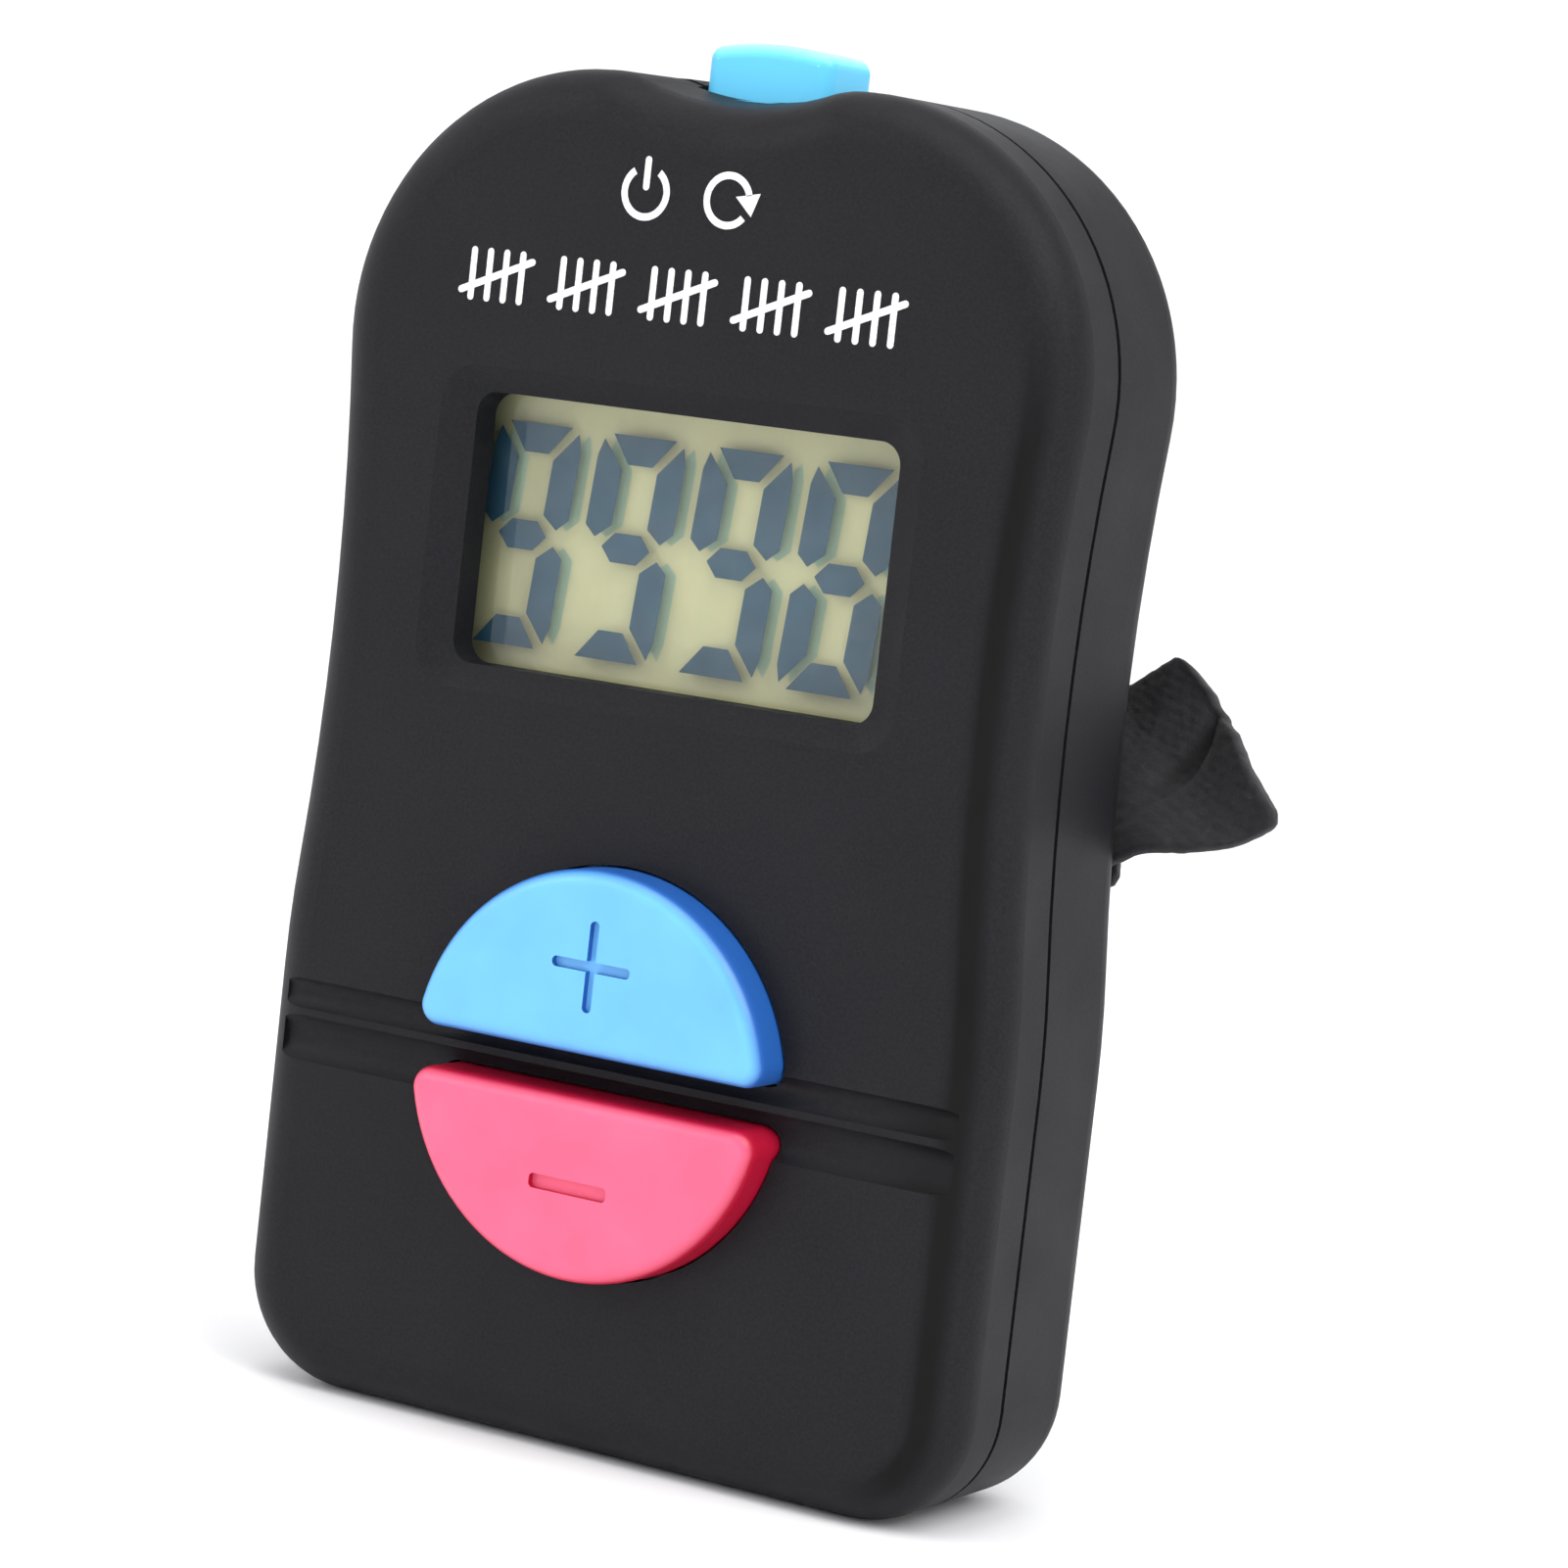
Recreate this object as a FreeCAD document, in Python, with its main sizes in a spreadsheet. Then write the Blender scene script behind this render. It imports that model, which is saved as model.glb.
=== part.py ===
import FreeCAD, Part
import math
import os
import Sketcher
from FreeCAD import Placement, Rotation, Vector

# Pocket-size electronic hand tally counter with a finger strap, in millimetres.
# +Z runs up the counter, the face with the display looks along -Y, and +X is to the right of that face.
# The origin is the middle of the bottom face. "At depth d" means d behind the flat front face.

# Driving dimensions: alias, value, what it is
DIMENSIONS = [
    ("body_height", 65.0, "bottom face to top face"),
    ("half_width", 20.15, "half of the width across the straight lower sides"),
    ("body_depth", 12.5, "front face to back face"),
    ("corner_radius", 5.7, "bottom corners of the outline"),
    ("hip_radius", 60.0, "convex bend above the straight sides"),
    ("hip_level", 20.4, "height where that bend begins"),
    ("waist_radius", 132.9, "concave bend of the waist"),
    ("shoulder_radius", 13.0, "round upper corners"),
    ("top_half", 7.0, "half of the flat top"),
    ("front_rounding", 2.6, "edge round the front face"),
    ("rear_rounding", 2.0, "edge round the back face"),
    ("front_shell_depth", 4.95, "front face to the parting line"),
    ("seam_gap", 0.3, "open line between the two shells"),
    ("side_wall", 1.5, "side walls of both shells"),
    ("front_wall", 1.6, "wall of the front face"),
    ("rear_wall", 1.6, "wall of the back face"),
    ("lip_inset", 0.8, "outline to the joint between the overlapping rims"),
    ("lip_height", 0.9, "overlap of the rims"),
    ("lip_clearance", 0.06, "gap round the rear rim"),
    ("scoop_radius", 15.5, "thumb scoop in front of the top key"),
    ("scoop_run", 9.3, "depth at which the scoop runs out beside the key"),
    ("scoop_tilt", 9.46, "slope of the scoop, in degrees"),
    ("scoop_blend", 4.0, "rounding of the scoop's rim"),
    ("window_half", 11.6, "half of the display window's width"),
    ("window_base", 36.4, "lower edge of the window"),
    ("window_crest", 49.35, "upper edge of the window"),
    ("window_corner", 1.1, "corner radius of the window"),
    ("bevel_side", 1.6, "width of the bevel round the window"),
    ("bevel_drop", 0.8, "depth of that bevel"),
    ("display_rim", 0.8, "rim behind the face that the window rests on"),
    ("frame_gap", 0.15, "clearance round the display in its frame"),
    ("frame_rib", 0.8, "thickness of the display's frame"),
    ("frame_height", 2.7, "height of that frame behind the face"),
    ("key_level", 18.4, "height of the middle of the two front keys"),
    ("key_radius", 9.7, "radius of the split round key"),
    ("key_split", 1.96, "gap between the two keys' flat sides"),
    ("key_gap", 0.12, "clearance round a key"),
    ("key_proud", 2.25, "how far a front key stands out of the face"),
    ("key_lip", 0.7, "width of the flange behind the face"),
    ("key_lip_thick", 0.8, "thickness of that flange"),
    ("key_skin", 1.2, "wall of a hollow key"),
    ("key_post_radius", 1.5, "post under a key, for its switch"),
    ("key_corner", 1.0, "rounded ends of the flat side"),
    ("key_edge", 0.75, "rounded rim of the key's top"),
    ("mark_depth", 0.35, "depth of the moulded plus and minus"),
    ("mark_length", 4.3, "length of a stroke of the marks"),
    ("plus_stroke", 0.5, "width of the strokes of the plus"),
    ("minus_stroke", 0.7, "width of the stroke of the minus"),
    ("mark_end", 0.24, "rounded ends of the strokes"),
    ("mark_offset", 5.2, "key middle to the middle of a mark"),
    ("upper_groove_level", 19.28, "height of the upper groove across the face"),
    ("upper_groove_radius", 0.8, "radius of the upper groove"),
    ("upper_groove_drop", 0.45, "depth of the upper groove"),
    ("lower_groove_level", 17.1, "height of the lower groove across the face"),
    ("lower_groove_radius", 1.3, "radius of the lower groove"),
    ("lower_groove_drop", 0.6, "depth of the lower groove"),
    ("groove_half", 18.7, "half of the length of the grooves"),
    ("reset_half", 3.4, "half of the top key's width"),
    ("reset_front", 4.65, "depth of the top key's front side"),
    ("reset_thick", 4.25, "front side to rear side of the top key"),
    ("reset_top", 66.95, "top of the top key"),
    ("reset_crown", 0.35, "rise of the top key's crowned top"),
    ("reset_edge", 0.7, "rounded edges of the top key"),
    ("reset_lip", 0.9, "width and thickness of the top key's flange"),
    ("reset_gap", 0.2, "clearance round the top key"),
    ("foot_front", 7.3, "depth of the front side of the top key's foot"),
    ("foot_deep", 1.6, "front side to rear side of the foot"),
    ("foot_width", 2.4, "width of the foot"),
    ("foot_tip", 60.7, "lower end of the foot"),
    ("reset_switch_base", 56.4, "lower side of the top key's switch"),
    ("reset_switch_crest", 59.8, "upper side of that switch"),
    ("glass_half", 13.2, "half of the display glass's width"),
    ("glass_base", 34.4, "lower edge of the display glass"),
    ("glass_crest", 51.2, "upper edge of the display glass"),
    ("glass_thick", 0.55, "one sheet of display glass"),
    ("ledge_height", 1.3, "contact ledge of the front glass"),
    ("film_thick", 0.15, "polarising film"),
    ("window_thick", 0.6, "clear window sheet"),
    ("board_depth", 5.4, "depth of the circuit board's front side"),
    ("board_thick", 1.0, "circuit board"),
    ("board_half", 13.3, "half of the circuit board's width"),
    ("board_base", 3.6, "lower edge of the board"),
    ("board_shoulder", 51.6, "top of the wide part of the board"),
    ("board_neck_half", 6.5, "half of the width of the board's neck"),
    ("board_crest", 61.2, "top of the board's neck"),
    ("switch_side", 4.6, "side of a front key's switch"),
    ("switch_height", 1.7, "height of its body"),
    ("plunger_radius", 1.1, "plunger of a front switch"),
    ("plunger_proud", 0.55, "plunger above the switch body"),
    ("cell_radius", 5.8, "button cell"),
    ("cell_thick", 3.05, "button cell"),
    ("cell_level", 17.5, "height of the middle of the cell"),
    ("cell_depth", 7.05, "depth of the cell's front side"),
    ("door_radius", 7.7, "battery door"),
    ("door_thick", 1.2, "disc of the battery door"),
    ("coin_slot", 9.2, "length of the slot in the door"),
    ("well_front", 6.9, "depth of the front end of the battery well"),
    ("well_radius", 7.6, "inside of the round battery well"),
    ("well_wall", 1.2, "wall of the battery well"),
    ("mouth_radius", 6.75, "opening that the door's skirt goes through"),
    ("ledge_thick", 1.2, "ledge that the door's lugs grip"),
    ("lug_front", 9.3, "depth of the front side of the door's lugs"),
    ("lug_width", 3.6, "width of a lug"),
    ("notch_width", 4.4, "width of the notches for the lugs"),
    ("notch_span", 15.1, "from the end of one notch to the end of the other"),
    ("notch_deep", 2.6, "depth of the notches"),
    ("strap_width", 10.4, "webbing of the finger strap"),
    ("strap_thick", 1.0, "webbing of the finger strap"),
    ("strap_level", 34.6, "height of the middle of the strap"),
    ("strap_slot", 12.4, "height of the recess for the strap"),
    ("recess_half", 14.0, "half of the length of the recess"),
    ("recess_drop", 2.6, "depth of the recess"),
    ("tray_wall", 1.3, "walls of the recess on the inside"),
    ("recess_edge", 0.6, "rounded edges that the strap bends over"),
    ("bar_half", 3.5, "half of the width of the strap bar"),
    ("bar_thick", 1.4, "thickness of the strap bar"),
    ("case_screw_radius", 0.85, "shank of a case screw"),
    ("case_head_radius", 1.6, "head of a case screw"),
    ("case_post_radius", 2.1, "post that a case screw goes into"),
    ("case_post_rear", 7.0, "depth of the rear end of that post"),
    ("tube_radius", 2.6, "tube that a case screw goes down"),
    ("screw_seat", 10.6, "depth of the case screws' seats"),
    ("board_screw_radius", 0.6, "shank of a board screw"),
    ("board_head_radius", 1.2, "head of a board screw"),
    ("board_post_radius", 1.7, "post that a board screw goes into"),
]
CASE_SCREWS = [(-15.9, 4.9), (15.9, 4.9), (-14.5, 55.0), (14.5, 55.0)]
BOARD_SCREWS = [(-10.5, 7.0), (10.5, 7.0), (-11.0, 31.4), (11.0, 31.4)]

doc = FreeCAD.newDocument("tally_counter")
sheet = doc.addObject("Spreadsheet::Sheet", "Sizes")


class Size:
    """A length that knows its number and its formula on the sheet, so that sums of sizes stay formulas."""

    def __init__(self, number, formula):
        self.number = number
        self.formula = formula

    def __add__(self, other):
        other = size(other)
        return Size(self.number + other.number, f"({self.formula} + {other.formula})")

    def __sub__(self, other):
        other = size(other)
        return Size(self.number - other.number, f"({self.formula} - {other.formula})")

    def __mul__(self, factor):
        return Size(self.number * factor, f"({self.formula} * {factor})")

    def __truediv__(self, divisor):
        return Size(self.number / divisor, f"({self.formula} / {divisor})")

    def __neg__(self):
        return Size(-self.number, f"(0 - {self.formula})")

    def __radd__(self, other):
        return size(other) + self

    def __rsub__(self, other):
        return size(other) - self


def size(value):
    """A plain number as a Size."""
    return value if isinstance(value, Size) else Size(float(value), str(float(value)))


class Cells:
    """The driving dimensions, one Size for each alias."""


def fill_sheet():
    cells = Cells()
    for row, (alias, number, note) in enumerate(DIMENSIONS, start=1):
        sheet.set(f"A{row}", note)
        sheet.set(f"B{row}", str(number))
        sheet.setAlias(f"B{row}", alias)
        setattr(cells, alias, Size(number, f"Sizes.{alias}"))
    doc.recompute()
    return cells


S = fill_sheet()


def at_depth(depth):
    """The y coordinate of a point that far behind the front face."""
    return size(depth) - S.body_depth / 2


def bind(item, name, value):
    item.setExpression(name, size(value).formula)


def place(item, x, y, z):
    bind(item, "Placement.Base.x", x)
    bind(item, "Placement.Base.y", y)
    bind(item, "Placement.Base.z", z)


# ---------------------------------------------------------------- sketches and features of a body


def new_body(name):
    body = doc.addObject("PartDesign::Body", name)
    body.Label = name
    return body


def new_sketch(body, name, plane, offset):
    """A sketch on one of the body's own origin planes, moved along that plane's normal."""
    sketch = body.newObject("Sketcher::SketchObject", name)
    support = [feature for feature in body.Origin.OriginFeatures if feature.Role == plane][0]
    sketch.AttachmentSupport = [(support, "")]
    sketch.MapMode = "FlatFace"
    bind(sketch, "AttachmentOffset.Base.z", offset)
    return sketch


def face_sketch(body, name, depth):
    """A sketch parallel to the front face: its x is X, its y is Z, and it looks forward, along -Y."""
    return new_sketch(body, name, "XZ_Plane", -at_depth(depth))


def dimension(sketch, kind, *arguments):
    """A dimension of the sketch, bound to the sheet; the last argument is its Size."""
    value = size(arguments[-1])
    index = sketch.addConstraint(Sketcher.Constraint(kind, *arguments[:-1], value.number))
    sketch.setExpression(f"Constraints[{index}]", value.formula)


def join_smoothly(sketch, count):
    """Closes the chain of edges, each tangent to the next. An edge starts at point 1 and ends at point 2."""
    for here in range(count):
        following = (here + 1) % count
        sketch.addConstraint(Sketcher.Constraint("Tangent", here, 2, following, 1))


def line(x1, y1, x2, y2):
    return Part.LineSegment(Vector(x1, y1, 0), Vector(x2, y2, 0))


def arc(cx, cy, radius, start, end):
    """An arc drawn anticlockwise between two directions in degrees."""
    circle = Part.Circle(Vector(cx, cy, 0), Vector(0, 0, 1), radius)
    return Part.ArcOfCircle(circle, math.radians(start), math.radians(end))


def centre_of_waist(shoulder, hip, radius, shoulder_radius, hip_radius):
    """Centre of the concave arc that touches the shoulder's and the hip's circle from outside."""
    reach_a = radius + shoulder_radius
    reach_b = radius + hip_radius
    dx = hip[0] - shoulder[0]
    dz = hip[1] - shoulder[1]
    gap = math.hypot(dx, dz)
    along = (reach_a**2 - reach_b**2 + gap**2) / (2 * gap)
    aside = math.sqrt(reach_a**2 - along**2)
    return (
        shoulder[0] + along * dx / gap - aside * dz / gap,
        shoulder[1] + along * dz / gap + aside * dx / gap,
    )


def direction(start, end):
    return math.degrees(math.atan2(end[1] - start[1], end[0] - start[0]))


def outline(body, name, depth, inset):
    """The counter's outline, drawn in by the inset: straight lower sides, a waist, and round shoulders."""
    inset = size(inset)
    half = S.half_width - inset
    crest = S.body_height - inset
    corner = S.corner_radius - inset
    hip = S.hip_radius - inset
    waist = S.waist_radius + inset
    shoulder = S.shoulder_radius - inset
    corner_x = half.number - corner.number
    corner_z = S.corner_radius.number
    hip_centre = (half.number - hip.number, S.hip_level.number)
    shoulder_centre = (S.top_half.number, crest.number - shoulder.number)
    waist_centre = centre_of_waist(
        shoulder_centre, hip_centre, waist.number, shoulder.number, hip.number
    )
    low = direction(hip_centre, waist_centre)
    high = direction(shoulder_centre, waist_centre)
    sketch = face_sketch(body, name, depth)
    edges = [
        line(-corner_x, inset.number, corner_x, inset.number),
        arc(corner_x, corner_z, corner.number, -90, 0),
        line(half.number, corner_z, half.number, hip_centre[1]),
        arc(*hip_centre, hip.number, 0, low),
        arc(*waist_centre, waist.number, 180 + high, 180 + low),
        arc(*shoulder_centre, shoulder.number, high, 90),
        line(S.top_half.number, crest.number, -S.top_half.number, crest.number),
        arc(-shoulder_centre[0], shoulder_centre[1], shoulder.number, 90, 180 - high),
        arc(-waist_centre[0], waist_centre[1], waist.number, -low, -high),
        arc(-hip_centre[0], hip_centre[1], hip.number, 180 - low, 180),
        line(-half.number, hip_centre[1], -half.number, corner_z),
        arc(-corner_x, corner_z, corner.number, 180, 270),
    ]
    sketch.addGeometry(edges, False)
    # The waist arcs run against the chain, so their two ends change places.
    ends = {4: (2, 1), 8: (2, 1)}
    for here in range(len(edges)):
        following = (here + 1) % len(edges)
        leaving = ends.get(here, (1, 2))[1]
        arriving = ends.get(following, (1, 2))[0]
        sketch.addConstraint(Sketcher.Constraint("Tangent", here, leaving, following, arriving))
    for edge in (0, 6):
        sketch.addConstraint(Sketcher.Constraint("Horizontal", edge))
    for edge in (2, 10):
        sketch.addConstraint(Sketcher.Constraint("Vertical", edge))
    for edge, radius in ((1, corner), (3, hip), (4, waist), (5, shoulder)):
        dimension(sketch, "Radius", edge, radius)
    for edge, radius in ((7, shoulder), (8, waist), (9, hip), (11, corner)):
        dimension(sketch, "Radius", edge, radius)
    dimension(sketch, "DistanceY", 0, 1, inset)
    dimension(sketch, "DistanceY", 6, 1, crest)
    dimension(sketch, "DistanceX", 2, 1, half)
    dimension(sketch, "DistanceX", 10, 1, -half)
    dimension(sketch, "DistanceX", 5, 3, S.top_half)
    dimension(sketch, "DistanceX", 7, 3, -S.top_half)
    dimension(sketch, "DistanceY", 3, 3, S.hip_level)
    dimension(sketch, "DistanceY", 9, 3, S.hip_level)
    return sketch


def rectangle(sketch, left, bottom, right, top):
    left, bottom, right, top = (size(edge) for edge in (left, bottom, right, top))
    corners = [
        (left.number, bottom.number),
        (right.number, bottom.number),
        (right.number, top.number),
        (left.number, top.number),
    ]
    first = sketch.GeometryCount
    for here in range(4):
        sketch.addGeometry(line(*corners[here], *corners[(here + 1) % 4]), False)
    for here in range(4):
        following = first + (here + 1) % 4
        sketch.addConstraint(Sketcher.Constraint("Coincident", first + here, 2, following, 1))
    for here, kind in enumerate(("Horizontal", "Vertical", "Horizontal", "Vertical")):
        sketch.addConstraint(Sketcher.Constraint(kind, first + here))
    dimension(sketch, "DistanceX", first, 1, left)
    dimension(sketch, "DistanceY", first, 1, bottom)
    dimension(sketch, "DistanceX", first + 2, 1, right)
    dimension(sketch, "DistanceY", first + 2, 1, top)
    return sketch


def rounded_rectangle(sketch, left, bottom, right, top, radius):
    left, bottom, right, top, radius = (size(edge) for edge in (left, bottom, right, top, radius))
    x1, z1, x2, z2, r = (edge.number for edge in (left, bottom, right, top, radius))
    edges = [
        line(x1 + r, z1, x2 - r, z1),
        arc(x2 - r, z1 + r, r, -90, 0),
        line(x2, z1 + r, x2, z2 - r),
        arc(x2 - r, z2 - r, r, 0, 90),
        line(x2 - r, z2, x1 + r, z2),
        arc(x1 + r, z2 - r, r, 90, 180),
        line(x1, z2 - r, x1, z1 + r),
        arc(x1 + r, z1 + r, r, 180, 270),
    ]
    sketch.addGeometry(edges, False)
    join_smoothly(sketch, len(edges))
    for here, kind in ((0, "Horizontal"), (2, "Vertical"), (4, "Horizontal"), (6, "Vertical")):
        sketch.addConstraint(Sketcher.Constraint(kind, here))
    for here in (1, 3, 5, 7):
        dimension(sketch, "Radius", here, radius)
    dimension(sketch, "DistanceY", 0, 1, bottom)
    dimension(sketch, "DistanceX", 2, 1, right)
    dimension(sketch, "DistanceY", 4, 1, top)
    dimension(sketch, "DistanceX", 6, 1, left)
    return sketch


def circle(sketch, x, z, radius):
    x, z, radius = size(x), size(z), size(radius)
    centre = Vector(x.number, z.number, 0)
    index = sketch.addGeometry(Part.Circle(centre, Vector(0, 0, 1), radius.number), False)
    dimension(sketch, "Radius", index, radius)
    dimension(sketch, "DistanceX", index, 3, x)
    dimension(sketch, "DistanceY", index, 3, z)
    return sketch


def half_disc(sketch, side, radius, flat):
    """A round key's half: the arc of the radius beyond the flat, above (side 1) or below (side -1)."""
    radius, flat = size(radius), size(flat)
    level = S.key_level.number
    lean = math.degrees(math.asin(flat.number / radius.number))
    reach = radius.number * math.cos(math.radians(lean))
    height = level + side * flat.number
    if side > 0:
        edges = [arc(0, level, radius.number, lean, 180 - lean), line(-reach, height, reach, height)]
    else:
        edges = [arc(0, level, radius.number, 180 + lean, 360 - lean), line(reach, height, -reach, height)]
    sketch.addGeometry(edges, False)
    sketch.addConstraint(Sketcher.Constraint("Coincident", 0, 2, 1, 1))
    sketch.addConstraint(Sketcher.Constraint("Coincident", 1, 2, 0, 1))
    sketch.addConstraint(Sketcher.Constraint("Horizontal", 1))
    dimension(sketch, "Radius", 0, radius)
    dimension(sketch, "DistanceX", 0, 3, 0)
    dimension(sketch, "DistanceY", 0, 3, S.key_level)
    dimension(sketch, "DistanceY", 1, 1, S.key_level + flat * side)
    return sketch


def pad(body, sketch, length):
    """Adds material from the sketch towards the back."""
    feature = body.newObject("PartDesign::Pad", sketch.Name + "_pad")
    feature.Profile = sketch
    feature.Reversed = True
    bind(feature, "Length", length)
    doc.recompute()
    return feature


def pocket(body, sketch, length):
    """Cuts from the sketch against its normal: towards the back, or downwards from a level sketch."""
    before = body.Shape.Volume
    feature = body.newObject("PartDesign::Pocket", sketch.Name + "_pocket")
    feature.Profile = sketch
    bind(feature, "Length", length)
    doc.recompute()
    if not body.Shape.Volume < before - 1e-6:
        raise RuntimeError(f"{sketch.Name} cuts nothing")
    return feature


def fillet(body, base, radius, rule):
    """Rounds the base feature's edges that the rule picks."""
    names = [f"Edge{i + 1}" for i, edge in enumerate(base.Shape.Edges) if rule(edge)]
    if not names:
        raise RuntimeError(f"no edge of {base.Name} to round")
    feature = body.newObject("PartDesign::Fillet", base.Name + "_round")
    feature.Base = (base, names)
    bind(feature, "Radius", radius)
    doc.recompute()
    return feature


def subtract(body, kind, name):
    """A primitive cut out of the body, such as a box or a cylinder."""
    return body.newObject("PartDesign::Subtractive" + kind, name)


def samples(edge):
    first, last = edge.ParameterRange
    return [edge.valueAt(first + (last - first) * step / 4) for step in range(5)]


def lies_at_y(edge, y):
    return all(abs(point.y - y) < 1e-4 for point in samples(edge))


# ---------------------------------------------------------------- plain solids


def box(name, left, right, front, rear, bottom, top):
    """A box between two X, two depths and two Z."""
    item = doc.addObject("Part::Box", name)
    bind(item, "Length", size(right) - left)
    bind(item, "Width", size(rear) - front)
    bind(item, "Height", size(top) - bottom)
    place(item, left, at_depth(front), bottom)
    return item


def rod(name, x, z, radius, front, rear):
    """A cylinder along Y between two depths."""
    item = doc.addObject("Part::Cylinder", name)
    bind(item, "Radius", radius)
    bind(item, "Height", size(rear) - front)
    item.Placement = Placement(Vector(), Rotation(Vector(1, 0, 0), -90))
    place(item, x, at_depth(front), z)
    return item


def fuse(name, *pieces):
    item = doc.addObject("Part::MultiFuse", name)
    item.Shapes = list(pieces)
    return item


def cut(name, base, tool):
    item = doc.addObject("Part::Cut", name)
    item.Base = base
    item.Tool = tool
    return item


def group(name, pieces):
    """Identical separate solids in one node."""
    item = doc.addObject("Part::Compound", name)
    item.Links = pieces
    return item


# ---------------------------------------------------------------- the case

BACK = S.body_depth
SEAM = S.front_shell_depth
REAR_START = S.front_shell_depth + S.seam_gap
REAR_INSIDE = S.body_depth - S.rear_wall
BOARD_REAR = S.board_depth + S.board_thick
CAVITY_TOP = S.body_height - S.side_wall
TUBE_FRONT = S.case_post_rear + 0.05
RECESS_LOW = S.strap_level - S.strap_slot / 2
RECESS_HIGH = S.strap_level + S.strap_slot / 2
RECESS_FLOOR = S.body_depth - S.recess_drop
DOOR_SEAT = S.body_depth - S.door_thick
LEDGE_FRONT = DOOR_SEAT - S.ledge_thick
PLUNGER_TOP = S.board_depth - S.switch_height - S.plunger_proud
DISPLAY_SEAT = S.front_wall + S.display_rim
GLASS_FRONT = DISPLAY_SEAT + S.window_thick + 0.05 + S.film_thick
GLASS_MIDDLE = GLASS_FRONT + S.glass_thick
GLASS_REAR = GLASS_MIDDLE + S.glass_thick
LEDGE_TOP = S.glass_base + S.ledge_height
# How far a cutting shape reaches past the surface it starts or ends on
OVERRUN = 1.0
# How far a joining shape reaches into the material it joins
BITE = 0.3


def cut_scoop(body, name):
    """The thumb scoop: a cylinder that leans back, deepest at the front edge, running out beside the key."""
    tilt = math.radians(S.scoop_tilt.number)
    start = 4.0
    length = 20.0
    scoop = subtract(body, "Cylinder", name)
    bind(scoop, "Radius", S.scoop_radius)
    scoop.Height = length
    lowest = S.body_height.number - (S.scoop_run.number + start) * math.tan(tilt)
    scoop.Placement = Placement(
        Vector(0, at_depth(-start).number, lowest + S.scoop_radius.number / math.cos(tilt)),
        Rotation(Vector(1, 0, 0), S.scoop_tilt.number - 90),
    )
    doc.recompute()
    return scoop


def rims_scoop(edge):
    """True for the curved rim between the scoop and the top of the case."""
    crest = S.body_height.number
    on_top = all(abs(point.z - crest) < 1e-4 for point in samples(edge))
    return on_top and edge.Curve.TypeId != "Part::GeomLine"


def cut_key_openings(body):
    for side, name in ((1, "plus_opening"), (-1, "minus_opening")):
        sketch = half_disc(
            face_sketch(body, name, -OVERRUN), side, S.key_radius + S.key_gap, S.key_split / 2 - S.key_gap
        )
        opening = pocket(body, sketch, S.front_wall + OVERRUN * 2)
        flat = S.key_level.number + side * (S.key_split.number / 2 - S.key_gap.number)

        def ends_flat(edge, flat=flat):
            points = samples(edge)
            level = all(abs(point.z - flat) < 1e-4 for point in points)
            return level and abs(points[0].x - points[-1].x) < 1e-4

        fillet(body, opening, S.key_corner + S.key_gap, ends_flat)


def cut_window(body):
    loft = body.newObject("PartDesign::SubtractiveLoft", "window_bevel")
    outer = rounded_rectangle(
        face_sketch(body, "bevel_outer", 0),
        -S.window_half - S.bevel_side,
        S.window_base - S.bevel_side * 0.75,
        S.window_half + S.bevel_side,
        S.window_crest + S.bevel_side * 0.75,
        S.window_corner + S.bevel_side / 2,
    )
    inner = rounded_rectangle(
        face_sketch(body, "bevel_inner", S.bevel_drop),
        -S.window_half,
        S.window_base,
        S.window_half,
        S.window_crest,
        S.window_corner,
    )
    loft.Profile = outer
    loft.Sections = [inner]
    loft.Ruled = True
    doc.recompute()
    opening = rounded_rectangle(
        face_sketch(body, "window_opening", 0),
        -S.window_half,
        S.window_base,
        S.window_half,
        S.window_crest,
        S.window_corner,
    )
    pocket(body, opening, DISPLAY_SEAT + OVERRUN)


def cut_grooves(body):
    """Two round-bottomed grooves side by side, right across the face through the gap between the keys."""
    grooves = (
        ("upper_groove", S.upper_groove_level, S.upper_groove_radius, S.upper_groove_drop),
        ("lower_groove", S.lower_groove_level, S.lower_groove_radius, S.lower_groove_drop),
    )
    for name, level, radius, drop in grooves:
        groove = subtract(body, "Cylinder", name)
        bind(groove, "Radius", radius)
        bind(groove, "Height", S.groove_half * 2)
        groove.Placement = Placement(Vector(), Rotation(Vector(0, 1, 0), 90))
        place(groove, -S.groove_half, at_depth(drop - radius), level)
        doc.recompute()


def cut_key_slot(body, name):
    """The slot for the top key, cut down through the top wall of both shells."""
    sketch = new_sketch(body, name, "XY_Plane", S.body_height + OVERRUN)
    rectangle(
        sketch,
        -S.reset_half - S.reset_gap,
        at_depth(S.reset_front - S.reset_gap),
        S.reset_half + S.reset_gap,
        at_depth(S.reset_front + S.reset_thick + S.reset_gap),
    )
    pocket(body, sketch, S.side_wall + OVERRUN * 1.5)


def add_display_frame(body):
    """On the inside of the face: a rim under the edge of the window, and a rib round the display glass."""
    rim = rectangle(
        face_sketch(body, "display_rim", S.front_wall),
        -S.glass_half - S.frame_gap,
        S.glass_base - S.frame_gap,
        S.glass_half + S.frame_gap,
        S.glass_crest + S.frame_gap,
    )
    pad(body, rim, S.display_rim)
    rib = face_sketch(body, "display_rib", S.front_wall)
    for spread in (S.frame_gap + S.frame_rib, S.frame_gap):
        rectangle(
            rib,
            -S.glass_half - spread,
            S.glass_base - spread,
            S.glass_half + spread,
            S.glass_crest + spread,
        )
    pad(body, rib, S.frame_height)


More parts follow.
